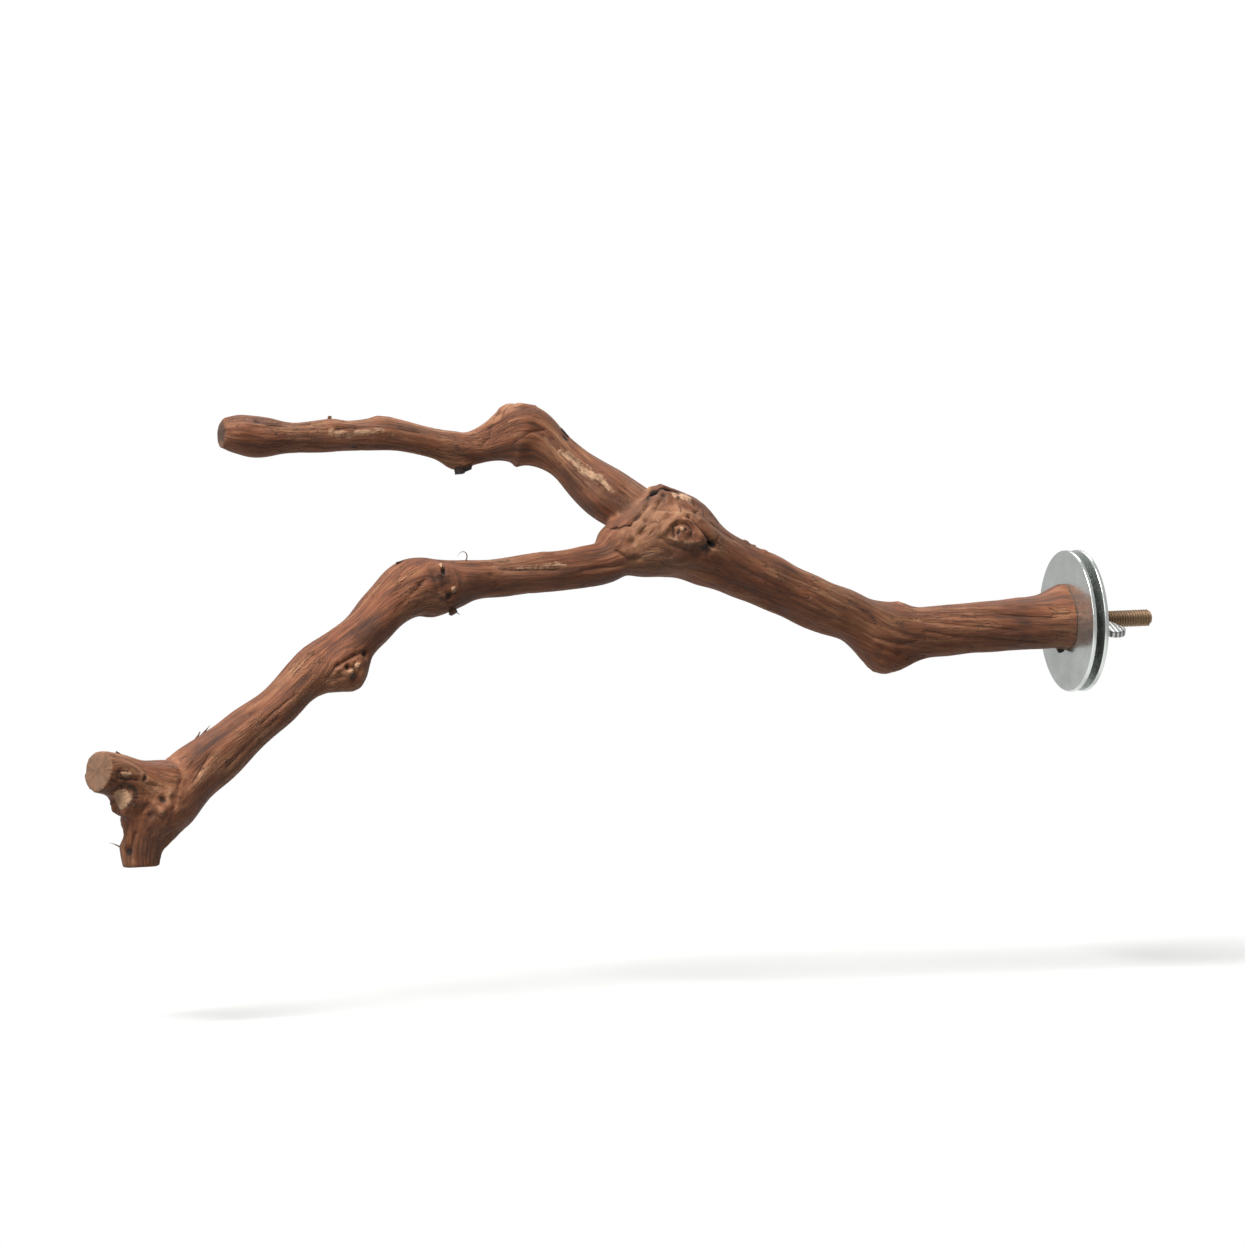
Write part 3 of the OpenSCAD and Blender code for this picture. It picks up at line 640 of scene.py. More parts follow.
# Limbs by name. The lanes keep their grain apart, in millimetres.
LIMBS = {
    "stem": Limb(STEM_PLACES, 0),
    "upper": Limb(UPPER_PLACES, 1000),
    "stub": Limb(STUB_PLACES, 2000),
    "snag": Limb(SNAG_PLACES, 3000),
}

# Spiral of the grain in radians to the millimetre: strong near the washer, slight further out
SPIRAL_BY_WASHER = 0.012
SPIRAL_BEYOND = 0.002
SPIRAL_CHANGE = (70, 110)
# Radius at which the grain is measured, and how sharply one limb's grain gives way to another's
GRAIN_RADIUS = 8.5
LIMB_SHARPNESS = 9
# Where the two nearest limbs' weights differ by less than this, the bark shows no one limb's grain
SEAM_SPAN = 0.8
# Sawn faces: the limb, its first or last place, and how plainly the end grain shows
SAWN_FACES = (("stem", 0, 1.0), ("stem", -1, 0.6), ("upper", -1, 0.2), ("stub", -1, 0.6))
# How far from a crack's middle it is still known, in widths of the crack, and the narrowest groove that
# the mesh holds, in millimetres. What is finer is left to the shader.
CRACK_REACH = 4
LEAST_GROOVE = 0.8
# How dark the shade painted into the cleft round a scar is, and how much of a mark's height a flat sawn face
# loses
CLEFT_SHADE = 0.85
SAWN_CALM = 0.92
# Layers of noise by their share, width in millimetres and seed: what roughens the edges of marks, what
# tears a scar's fibres, and the wrinkles of a burl, whose places drift by another noise
EDGES = ((0.45, 1.7, 11), (0.5, 4.1, 17))
TORN = ((1, 0.9, 19), (0.6, 0.45, 29))
WRINKLES = ((0.8, 6, 89), (1, 3.6, 71), (0.4, 2.2, 73))
DRIFT_WIDTH = 7
DRIFT_REACH = 2.2
# The bark's ribs, by their share, length, width and seed
RIBS = ((1, 34, 4.2, 31), (0.35, 20, 2.8, 41))
# The bolt's hole, which stays as it is: its reach into the branch and its radius
BOLT_HOLE_REACH = 41
BOLT_HOLE_RADIUS = 3.5


def spiral(along):
    """How far the grain has turned about the limb at a distance along it."""
    low, high = SPIRAL_CHANGE
    near = np.minimum(along, low)
    between = np.clip(along - low, 0, high - low)
    mean = (SPIRAL_BY_WASHER + SPIRAL_BEYOND) / 2
    return near * SPIRAL_BY_WASHER + between * mean + np.maximum(along - high, 0) * SPIRAL_BEYOND


class Skin:
    """The bark's points and outward directions in millimetres, and what is worked into them."""

    def __init__(self, mesh):
        self.mesh = mesh
        self.points = read_vectors(mesh.vertices, "co") / MM
        self.outward = read_vectors(mesh.vertex_normals, "vector")
        faces = [tuple(face.vertices) for face in mesh.polygons]
        self.tree = BVHTree.FromPolygons(self.points.tolist(), faces)
        self.located = {name: limb.locate(self.points) for name, limb in LIMBS.items()}
        shares = np.stack([self.located[name][3] for name in LIMBS])
        closeness = np.exp(-LIMB_SHARPNESS * (shares - shares.min(0)))
        self.weights = dict(zip(LIMBS, closeness / closeness.sum(0)))
        self.jitter = layered(self.points, EDGES)
        self.torn = layered(self.points, TORN)
        count = len(self.points)
        self.lift = np.zeros(count)
        self.hollow = np.zeros(count)
        self.bare = np.zeros(count)
        ranked = np.sort(np.stack(list(self.weights.values())), axis=0)
        self.burl = ease(1 - (ranked[-1] - ranked[-2]) / SEAM_SPAN)
        self.crack = np.full(count, float(CRACK_REACH))
        self.crack_weight = np.zeros(count)
        self.bolt_hole = self.find_bolt_hole()
        self.sawn = self.find_sawn_faces()
        self.grain = {name: self.grain_of(name) for name in LIMBS}

    def find_bolt_hole(self):
        """1 in the bolt's hole, 0 elsewhere."""
        x, y, z = self.points.T
        return ((np.hypot(y, z) < BOLT_HOLE_RADIUS) & (x > -BOLT_HOLE_REACH)).astype(float)

    def find_sawn_faces(self):
        """How plainly each point shows end grain, on the flat faces where the branch was sawn."""
        sawn = np.zeros(len(self.points))
        for name, at_end, plain in SAWN_FACES:
            limb = LIMBS[name]
            facing = limb.ahead[at_end] * (1 if at_end else -1)
            past = (self.points - limb.middle[at_end]) @ facing
            apart = np.linalg.norm(self.points - limb.middle[at_end], axis=1)
            close = apart < limb.radius[at_end] * 1.6
            flat = self.outward @ facing
            sawn = np.maximum(sawn, plain * close * (past > -1.2) * ease((flat - 0.55) / 0.35))
        return sawn

    def grain_of(self, name):
        """Straightened coordinates along and across a limb's grain, which flows round its knots."""
        along, angle, _, _ = self.located[name]
        turned = angle - spiral(along)
        for knot in KNOTS:
            if knot.limb != name:
                continue
            apart = (angle - radians(knot.angle) + pi) % tau - pi
            across = apart * GRAIN_RADIUS
            square = (along - knot.along) ** 2 + across**2
            push = np.minimum(knot.radius**2 / np.maximum(square, 1e-6), 1)
            turned = turned - apart * push * (1 - np.abs(apart) / pi) ** 2
        return np.stack(
            [along + LIMBS[name].lane, GRAIN_RADIUS * np.cos(turned), GRAIN_RADIUS * np.sin(turned)], axis=1
        )

    def grain_noise(self, length, width, seed):
        """Noise drawn out along the grain of every limb, mixed by how near each limb is."""
        total = 0
        power = 0
        for name in LIMBS:
            total = total + self.weights[name] * noise(self.grain[name] / [length, width, width], seed)
            power = power + self.weights[name] ** 2
        return total / np.sqrt(power)

    def own_limbs(self, held):
        """Each point's row of what the limbs hold, from the limb that it belongs to."""
        owner = np.stack([self.weights[name] for name in LIMBS]).argmax(0)
        return np.stack(held)[owner, np.arange(len(owner))]

    def strongest_grain(self):
        """The grain coordinates of the limb that each point belongs to."""
        return self.own_limbs([self.grain[name] for name in LIMBS])

    def heart(self):
        """Distance of each point from its limb's middle."""
        return self.own_limbs([self.located[name][2] for name in LIMBS])

    def place(self, limb, along, angle):
        """The bark's point at a place on a limb, and the directions out, ahead and round there."""
        start, *ways = LIMBS[limb].ray(along, angle)
        hit = self.tree.ray_cast(Vector(start), Vector(ways[0]))[0]
        if hit is None:
            raise RuntimeError(f"no bark at {along} mm and {angle} degrees on the {limb}")
        return np.array(hit), *ways

    def spread_from(self, mark):
        """Distances of each point from a mark's middle: whole, ahead and round, with its length drawn in."""
        middle, out, ahead, beside = self.place(mark.limb, mark.along, mark.angle)
        offset = self.points - middle
        along = offset @ ahead / mark.long
        across = offset @ beside
        whole = np.sqrt(along**2 + across**2 + (offset @ out) ** 2)
        return whole + self.jitter * min(1, mark.radius / 3), along, across

    def paint_shade_and_bare(self, amount, hollow, bare):
        """Paints the wood darker by the amount at each point, mostly as painted shade, and bares it."""
        self.hollow = np.maximum(self.hollow * (1 - bare * amount), hollow * amount)
        self.bare = np.maximum(self.bare * (1 - hollow * amount), bare * amount)

    def add_spot(self, spot):
        """A round swelling, hollow or patch."""
        apart = self.spread_from(spot)[0]
        self.lift += spot.height * nearness(apart, spot.radius * 1.5)
        self.paint_shade_and_bare(ease((spot.radius * 1.3 - apart) / (spot.radius * 0.8)), spot.hollow, spot.bare)

    def add_scar(self, scar):
        """The torn root of a shoot, with its cleft sunk and painted dark as shade."""
        apart, along, across = self.spread_from(scar)
        facing = np.cos(np.arctan2(across, along) - radians(scar.side))
        cleft = nearness(np.abs(apart - 1.2 * scar.radius), 0.55 * scar.radius)
        cleft = cleft * ease((facing + 2 * scar.round - 0.9 + 0.5 * self.torn) / 0.8)
        core = nearness(apart, 1.3 * scar.radius)
        rough = 1 + 0.45 * self.torn
        self.lift += scar.height * core * rough - 0.8 * scar.height * cleft
        fibres = ease((1.15 * scar.radius - apart) / (0.5 * scar.radius)) * np.clip(rough, 0, 1)
        self.paint_shade_and_bare(fibres, 0, scar.bare)
        self.paint_shade_and_bare(CLEFT_SHADE * cleft, 1, 0)

    def add_line(self, line):
        """A raised or sunken line. One painted dark as shade leaves the distance to its middle for the
        shader's cracks.
        """
        spots = [self.place(line.limb, along, angle)[:2] for along, angle in line.places]
        nearest = np.full(len(self.points), 1e9)
        beside = np.ones(len(self.points))
        for (start, out), (end, _) in zip(spots[:-1], spots[1:]):
            span = end - start
            share = np.clip((self.points - start) @ span / max(span @ span, 1e-9), 0, 1)
            offset = self.points - start - share[:, None] * span
            apart = np.linalg.norm(offset, axis=1)
            nearer = apart < nearest
            nearest[nearer] = apart[nearer]
            beside[nearer] = np.sign(offset[nearer] @ np.cross(span, out))
        fade = 1 - 0.4 * ease(noise(self.points / 2.6, 23) + 0.4)
        apart = np.maximum(nearest + self.jitter * 0.25, 0)
        groove = max(line.width, LEAST_GROOVE)
        self.lift += line.height * fade * nearness(apart, groove * 1.9)
        strip = fade * ease((line.width * 1.6 - apart) / (line.width * 1.2))
        self.paint_shade_and_bare(strip, 0.45 * line.hollow, line.bare)
        if line.hollow:
            widths = nearest / line.width
            nearer = widths < np.abs(self.crack)
            self.crack[nearer] = (widths * beside)[nearer]
            self.crack_weight[nearer] = (line.hollow * ease(2 - 2 * widths / CRACK_REACH))[nearer]

    def add_burls(self):
        """Marks where the grain swirls."""
        for zone in BURLS:
            middle = self.place(zone.limb, zone.along, zone.angle)[0]
            apart = np.linalg.norm(self.points - middle, axis=1)
            self.burl = np.maximum(self.burl, nearness(apart, zone.radius * 1.25))

    def weather(self, bark):
        """Works ribs, swellings, wrinkles and pits into the bark, and returns their relief."""
        straight = 1 - 0.6 * self.burl
        ribs = sum(share * self.grain_noise(*layer) for share, *layer in RIBS)
        drift = np.stack([noise(self.points / DRIFT_WIDTH, 61 + 3 * axis) for axis in range(3)], axis=1)
        wrinkles = layered(self.points + DRIFT_REACH * drift, WRINKLES)
        lumps = noise(self.points / 12, 79)
        pits = ease((noise(self.points / 2.6, 83) - 0.62) / 0.25) * (0.2 + 0.8 * self.burl)
        self.lift += bark.rib_height / MM * ribs * straight
        self.lift += bark.wrinkle_height / MM * wrinkles * self.burl
        self.lift += bark.lump_height / MM * lumps - 0.4 * pits
        # Painted shade in the pits
        self.paint_shade_and_bare(np.clip(pits, 0, 1), 0.5, 0)
        return ribs * straight + 0.8 * wrinkles * self.burl - pits

    def finish(self, box):
        """Moves the points out by what was worked in, kept inside the box and off the flat faces."""
        kept = (1 - self.bolt_hole) * (1 - SAWN_CALM * self.sawn)
        moved = self.points + self.outward * (self.lift * kept)[:, None]
        low, high = box
        moved = np.clip(moved, np.array(low) / MM, np.array(high) / MM)
        self.mesh.vertices.foreach_set("co", (moved * MM).astype(np.float32).ravel())
        self.mesh.update()


def write_values(mesh, name, values):
    """Keeps a number or a vector for each point of a mesh, for its material to read."""
    if values.ndim == 1:
        mesh.attributes.new(name, "FLOAT", "POINT").data.foreach_set("value", values.astype(np.float32))
    else:
        held = mesh.attributes.new(name, "FLOAT_VECTOR", "POINT").data
        held.foreach_set("vector", values.astype(np.float32).ravel())


# Points of a node nearer than this are one
MERGE_WITHIN = 0.002 * MM


def even_copy(name, node, step, rounds):
    """A new object with a node's shape, meshed evenly and smoothed."""
    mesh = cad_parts[node].data.copy()
    work = bmesh.new()
    work.from_mesh(mesh)
    bmesh.ops.remove_doubles(work, verts=work.verts, dist=MERGE_WITHIN)
    work.to_mesh(mesh)
    work.free()
    made = new_object(name, mesh)
    remesh = made.modifiers.new("Even mesh", "REMESH")
    remesh.mode = "VOXEL"
    remesh.voxel_size = step
    smooth = made.modifiers.new("Smooth", "SMOOTH")
    smooth.factor = 0.5
    smooth.iterations = rounds
    made.data = bpy.data.meshes.new_from_object(made.evaluated_get(bpy.context.evaluated_depsgraph_get()))
    made.modifiers.clear()
    made.data.materials.clear()
    return made


def refine(mesh, places):
    """Splits the faces near the places, given in metres with their reach, and smooths the new points."""
    work = bmesh.new()
    work.from_mesh(mesh)
    chosen = set()
    for middle, reach in places:
        for edge in work.edges:
            start, end = edge.verts
            if ((start.co + end.co) / 2 - middle).length < reach:
                chosen.add(edge)
    split = bmesh.ops.subdivide_edges(work, edges=list(chosen), cuts=1, use_grid_fill=True)
    fresh = [item for item in split["geom_inner"] if isinstance(item, bmesh.types.BMVert)]
    for _ in range(2):
        bmesh.ops.smooth_vert(
            work, verts=fresh, factor=0.5, use_axis_x=True, use_axis_y=True, use_axis_z=True
        )
    work.to_mesh(mesh)
    work.free()


class NodeTree:
    """A material's nodes, with short calls that add one and wire it up."""

    def __init__(self, name):
        self.material = bpy.data.materials.new(name)
        self.material.use_nodes = True
        self.tree = self.material.node_tree
        self.tree.nodes.clear()

    def add(self, kind, inputs=None, **settings):
        """A shader node of a kind, with its inputs fed and its settings made."""
        made = self.tree.nodes.new("ShaderNode" + kind)
        for name, value in settings.items():
            setattr(made, name, value)
        for name, value in (inputs or {}).items():
            self.feed(made.inputs[name], value)
        return made

    def feed(self, socket, value):
        """Links another node's output to a socket, or sets the socket's own value."""
        if isinstance(value, bpy.types.NodeSocket):
            self.tree.links.new(value, socket)
        elif socket.type == "RGBA" and len(value) == 3:
            socket.default_value = (*value, 1)
        else:
            socket.default_value = value

    def value(self, name):
        """A number kept on the mesh."""
        return self.add("Attribute", attribute_name=name).outputs["Fac"]

    def vector(self, name):
        """A vector kept on the mesh."""
        return self.add("Attribute", attribute_name=name).outputs["Vector"]

    def place(self):
        """The point in the piece's own frame, in metres."""
        return self.add("TexCoord").outputs["Object"]

    def stretch(self, vector, scale):
        """A vector scaled by its own amount on each axis."""
        return self.add("Mapping", {"Vector": vector, "Scale": scale}).outputs["Vector"]

    def noise(self, vector, scale=1.0, detail=3.0, roughness=0.55, distortion=0.0):
        """Noise with the scale in cells to the vector's unit."""
        inputs = {"Vector": vector, "Scale": scale, "Detail": detail, "Roughness": roughness}
        inputs["Distortion"] = distortion
        return self.add("TexNoise", inputs).outputs["Fac"]

    def drawn_out(self, grain, along, across, detail=2.0, roughness=0.55):
        """Noise drawn out along the grain, by its cells to the millimetre along and across."""
        return self.noise(self.stretch(grain, (along, across, across)), 1.0, detail, roughness)

    def math(self, operation, first, second=0.0):
        """The result of one sum."""
        made = self.add("Math", operation=operation)
        self.feed(made.inputs[0], first)
        self.feed(made.inputs[1], second)
        return made.outputs[0]

    def plus(self, first, second):
        """The sum of two values."""
        return self.math("ADD", first, second)

    def times(self, first, second):
        """The product of two values."""
        return self.math("MULTIPLY", first, second)

    def from_half(self, value):
        """How far a noise is over its middle."""
        return self.math("SUBTRACT", value, 0.5)

    def weighed(self, *parts):
        """The sum of values, each with its own weight."""
        (value, weight), *others = parts
        total = self.times(value, weight)
        for value, weight in others:
            total = self.plus(total, self.times(value, weight))
        return total

    def spread(self, value, low, high, out_low=0.0, out_high=1.0, kind="LINEAR"):
        """A value's place between low and high, given out between two others and held there."""
        inputs = {"Value": value, "From Min": low, "From Max": high, "To Min": out_low, "To Max": out_high}
        return self.add("MapRange", inputs, interpolation_type=kind).outputs[0]

    def ramp(self, value, stops):
        """A colour ramp through stops, each a place and a colour."""
        made = self.add("ValToRGB", {"Fac": value})
        elements = made.color_ramp.elements
        while len(elements) < len(stops):
            elements.new(0.5)
        for element, (place, shade) in zip(elements, stops):
            element.position = place
            element.color = (*shade, 1)
        return made.outputs["Color"]

    def mix(self, share, first, second, kind="MIX"):
        """Two colours mixed by a share."""
        made = self.add("Mix", data_type="RGBA", blend_type=kind)
        self.feed(made.inputs[0], share)
        self.feed(made.inputs[6], first)
        self.feed(made.inputs[7], second)
        return made.outputs[2]

    def mix_values(self, share, first, second):
        """Two numbers mixed by a share."""
        made = self.add("Mix", data_type="FLOAT")
        self.feed(made.inputs[0], share)
        self.feed(made.inputs[2], first)
        self.feed(made.inputs[3], second)
        return made.outputs[0]

    def bump(self, height, distance, under=None):
        """A normal tilted by a height, on top of the one under it."""
        made = self.add("Bump", {"Height": height, "Distance": distance, "Strength": 1.0})
        if under is not None:
            self.feed(made.inputs["Normal"], under)
        return made.outputs["Normal"]

    def surface(self, inputs):
        """The principled surface and the output."""
        surface = self.add("BsdfPrincipled", inputs)
        self.output(surface.outputs[0])
        return self.material

    def output(self, shader):
        """Ends the material with a shader."""
        out = self.add("OutputMaterial")
        self.tree.links.new(shader, out.inputs["Surface"])
        return self.material


# How the bark takes light: a low gloss and a faint dry sheen
BARK_GLOSS = {
    "Specular IOR Level": 0.4,
    "Sheen Weight": 0.12,
    "Sheen Roughness": 0.45,
    "Sheen Tint": (0.86, 0.81, 0.76, 1),
}
# Growth rings of a sawn face: radians of ring to the millimetre out from the heart, and how far they wander
RING_RATE = 4.6
RING_WANDER = 2


def streaked_bark(t, bark, grain, burl):
    """Bark's colour, and the height of its fibres and fissures, from noise drawn out along the grain.

    The grain is in millimetres, so its stretches are cells to the millimetre along and across it. The
    place is in metres, and so are the scales of the noise on it. A burl swirls instead.
    """
    place = t.place()
    broad = t.drawn_out(grain, 0.030, 0.26, detail=3)
    strands = t.drawn_out(grain, 0.075, 0.85, detail=4, roughness=0.62)
    fibres = t.drawn_out(grain, 0.20, 2.8, detail=3, roughness=0.65)
    swirls = t.noise(place, scale=270, detail=4, distortion=1.4)
    patches = t.noise(place, scale=62, detail=2)
    hues = t.drawn_out(grain, 0.022, 0.10)
    worn = t.noise(place, scale=34, detail=2)
    lines = t.mix_values(t.times(burl, 0.9), strands, swirls)
    fibres = t.mix_values(t.times(burl, 0.9), fibres, t.noise(place, scale=1000, detail=2))
    broad = t.mix_values(burl, broad, t.noise(place, scale=105, detail=3))
    hues = t.mix_values(burl, hues, 0.5)
    # The relief darkens the bark a little in its dips and lightens it on its rises: painted shade and light
    tone = t.weighed(
        (broad, 0.62), (lines, 0.62), (fibres, 0.22), (patches, 0.46), (t.value("relief"), 0.075)
    )
    shade = t.ramp(t.spread(tone, 0.62, 1.30), [
        (0.04, bark.deep_brown),
        (0.26, bark.dark_brown),
        (0.50, bark.red_brown),
        (0.75, bark.light_brown),
        (0.97, bark.pale_strand),
    ])
    shade = t.mix(t.spread(hues, 0.46, 0.70, 0.0, 0.42), shade, (1.08, 0.84, 0.72), "MULTIPLY")
    shade = t.mix(t.spread(worn, 0.54, 0.74, 0, 0.24), shade, tuple(bark.grey_brown))
    gaps = t.drawn_out(grain, 0.045, 0.42, roughness=0.45)
    finer = t.drawn_out(grain, 0.11, 1.1, roughness=0.45)
    wide = t.spread(t.math("ABSOLUTE", t.from_half(gaps)), 0.004, 0.016, 1, 0)
    thin = t.spread(t.math("ABSOLUTE", t.from_half(finer)), 0.004, 0.022, 0.6, 0)
    split = t.times(t.math("MAXIMUM", wide, thin), t.spread(patches, 0.47, 0.60))
    split = t.times(split, t.spread(burl, 0, 0.8, 1, 0))
    height = t.weighed((lines, 0.9), (fibres, 0.42))
    return shade, height, split, fibres


def vine_wood(bark):
    """Bark in long fibres, with cracks, bare scars, pits and sawn ends, and with shade painted into its
    fissures, cracks, pits and shaded patches.
    """
    t = NodeTree("vine wood")
    place = t.place()
    bark_colour, height, split, fibres = streaked_bark(t, bark, t.vector("grain"), t.value("burl"))
    ragged = t.from_half(t.noise(place, scale=1300, detail=3))
    wander = t.from_half(t.noise(place, scale=420, detail=2))
    shreds = t.noise(place, scale=900, detail=3, roughness=0.7)
    bare_colour = t.ramp(t.spread(t.plus(fibres, t.times(shreds, 0.6)), 0.40, 1.0), [
        (0.0, bark.light_brown),
        (0.35, bark.bare_wood),
        (1.0, bark.fresh_wood),
    ])
    heart = t.plus(t.value("heart"), t.times(wander, RING_WANDER))
    rings = t.math("SINE", t.times(heart, RING_RATE))
    end_tone = t.plus(t.times(rings, 0.03), t.noise(place, scale=420, detail=4))
    end_colour = t.ramp(t.spread(end_tone, 0.16, 0.80), [
        (0.0, bark.dark_brown),
        (0.32, bark.grey_brown),
        (0.85, bark.sawn_face),
    ])
    bare = t.spread(t.plus(t.value("bare"), t.times(ragged, 0.9)), 0.30, 0.62)
    bare = t.times(bare, t.spread(t.value("bare"), 0, 0.8, 0.2, 1))
    shade_and_stain_mask = t.spread(t.plus(t.value("hollow"), t.times(ragged, 0.5)), 0.22, 0.85)
    crack = t.math("ABSOLUTE", t.plus(t.value("crack"), t.times(wander, 1.6)))
    crack = t.times(t.spread(crack, 0.35, 1.0, 1, 0), t.value("crack_weight"))
    shade = t.mix(bare, bark_colour, bare_colour)
    shade = t.mix(t.value("sawn"), shade, end_colour)
    # Painted shade: fissures turn deep brown; cracks, pits, clefts and shaded patches turn near-black
    shade = t.mix(t.times(split, 0.38), shade, tuple(bark.deep_brown))
    shade = t.mix(t.times(crack, 0.65), shade, tuple(bark.hollow))
    shade = t.mix(shade_and_stain_mask, shade, tuple(bark.hollow))
    torn = t.times(bare, t.times(shreds, 1.2))
    normal = t.bump(t.plus(height, torn), bark.fibre_height)
    normal = t.bump(t.math("MAXIMUM", split, crack), -bark.crack_depth, normal)
    normal = t.bump(t.noise(place, scale=1900, detail=3), 0.10 * MM, normal)
    return t.surface({
        "Base Color": shade,
        "Roughness": t.spread(fibres, 0.3, 0.7, 0.58, 0.82),
        "Normal": normal,
        **BARK_GLOSS,
    })


# Ribs cast across the nut's wings, with painted shade in their grooves: their pitch and depth, and how far
# out from the bolt they begin
RIB_PITCH = 1.6 * MM
RIB_DEPTH = 0.25 * MM
RIB_START = (6.6 * MM, 7.4 * MM)


def plated_metal(name, tint, metallic, rough, cloud, scratch, grain=1400.0, ribs=False):
    """Plated steel with faint clouds, fine scratches and an uneven face, and with cast ribs if asked, whose
    grooves are painted dark as shade.

    The cloud is how much the roughness changes, the scratch its depth in metres, and the grain the cells
    to the metre of the uneven face.
    """
    t = NodeTree(name)
    place = t.place()
    clouds = t.noise(place, scale=120, detail=3)
    scratches = t.noise(t.stretch(place, (2600, 2600, 190)), detail=2)
    cross = t.noise(t.stretch(place, (2600, 150, 2300)), detail=2)
    marks = t.math("MAXIMUM", t.spread(scratches, 0.60, 0.78), t.spread(cross, 0.62, 0.80))
    dark = tuple(0.86 * v for v in tint)
    shade = t.mix(t.spread(clouds, 0.30, 0.72), dark, tuple(tint))
    shade = t.mix(t.times(marks, 0.25), shade, tuple(min(1, 1.15 * v) for v in tint))
    roughness = t.plus(t.spread(clouds, 0.3, 0.7, rough - cloud, rough + cloud), t.times(marks, 0.16))
    normal = t.bump(t.noise(place, scale=grain, detail=3), scratch)
    normal = t.bump(marks, 0.3 * scratch, normal)
    if ribs:
        parts = t.add("SeparateXYZ", {"Vector": place}).outputs
        square = t.plus(t.math("POWER", parts["Y"], 2.0), t.math("POWER", parts["Z"], 2.0))
        out = t.math("POWER", square, 0.5)
        wave = t.math("SINE", t.times(parts["X"], tau / RIB_PITCH))
        rib_groove_and_shade = t.times(t.spread(wave, -0.2, 0.5), t.spread(out, *RIB_START))
        # Painted shade: the grooves between the ribs are darkened almost to black
        shade = t.mix(t.times(rib_groove_and_shade, 0.75), shade, tuple(0.12 * v for v in tint))
        normal = t.bump(rib_groove_and_shade, -RIB_DEPTH, normal)
    return t.surface({"Base Color": shade, "Metallic": metallic, "Roughness": roughness, "Normal": normal})


def tube_faces(first, rings, sides, closed=False):
    """Faces that join rings of points into a tube, with flat ends unless it closes on itself."""
    faces = []
    for i in range(rings if closed else rings - 1):
        j = (i + 1) % rings
        for k in range(sides):
            n = (k + 1) % sides
            corners = (i * sides + k, i * sides + n, j * sides + n, j * sides + k)
            faces.append(tuple(first + corner for corner in corners))
    if not closed:
        faces.append(tuple(first + k for k in range(sides))[::-1])
        faces.append(tuple(first + (rings - 1) * sides + k for k in range(sides)))
    return faces


def closed_mesh(name, points, faces):
    """A smooth mesh of the points and faces, with its faces turned outwards."""
    mesh = bpy.data.meshes.new(name)
    mesh.from_pydata(points, [], faces)
    work = bmesh.new()
    work.from_mesh(mesh)
    bmesh.ops.recalc_face_normals(work, faces=work.faces)
    work.to_mesh(mesh)
    work.free()
    smooth_shaded(mesh)
    return mesh


# Rounds of smoothing that take the even mesh's steps away
BRANCH_ROUNDS = 4
NUT_ROUNDS = 6


def branch_mesh(bark):
    """The worked branch: an even mesh, finer at its knots."""
    made = even_copy("vine_branch", "branch", bark.mesh_step, BRANCH_ROUNDS)
    rough_skin = Skin(made.data)
    zones = [(Vector(rough_skin.place(*zone[:3])[0]) * MM, zone.radius * MM) for zone in FINE_ZONES]
    refine(made.data, zones)
    return made


def sliver_rings(skin, sliver):
    """Rings of points along a tapered and curled tube that starts inside the bark, in millimetres."""
    root, out, ahead, beside = skin.place(sliver.limb, sliver.along, sliver.angle)
    turn = radians(sliver.turn)
    side = cos(turn) * ahead + sin(turn) * beside
    across = np.cross(out, side)
    angles = np.linspace(0, tau, SLIVER_SIDES, endpoint=False)
    step = (sliver.length + sliver.radius) / SLIVER_STEPS
    middle = root - out * sliver.radius
    rings = []
    for k in range(SLIVER_STEPS + 1):
        share = k / SLIVER_STEPS
        lean = radians(sliver.lean + sliver.curl * share)
        way = cos(lean) * out + sin(lean) * side
        if k:
            middle = middle + way * step
        facing = np.cross(across, way)
        radius = sliver.radius * (1 - share * min(0.9, sliver.length / sliver.radius / SLENDER))
        level = np.zeros(SLIVER_SIDES)
        ragged = 1 + 0.3 * noise(np.stack([angles * 0.9, level + share * 5, level + sliver.along]).T, 97)
        circle = np.cos(angles)[:, None] * facing + np.sin(angles)[:, None] * across
        rings.append(middle + (radius * ragged)[:, None] * circle)
    return rings


def sliver_mesh(skin):
    """All slivers in one mesh, with the values that the bark's material reads."""
    points = []
    faces = []
    grain = []
    hollow = []
    for sliver in SLIVERS:
        rings = sliver_rings(skin, sliver)
        faces += tube_faces(len(points), len(rings), SLIVER_SIDES)
        for k, ring in enumerate(rings):
            points += [tuple(point * MM) for point in ring]
            along = k * sliver.length / SLIVER_STEPS + sliver.along
            grain += [(along, side, 0) for side in range(SLIVER_SIDES)]
            hollow += [sliver.hollow] * SLIVER_SIDES
    mesh = closed_mesh("bark_slivers", points, faces)
    count = len(points)
    write_values(mesh, "grain", np.array(grain, float))
    write_values(mesh, "hollow", np.array(hollow))
    write_values(mesh, "crack", np.full(count, float(CRACK_REACH)))
    return mesh


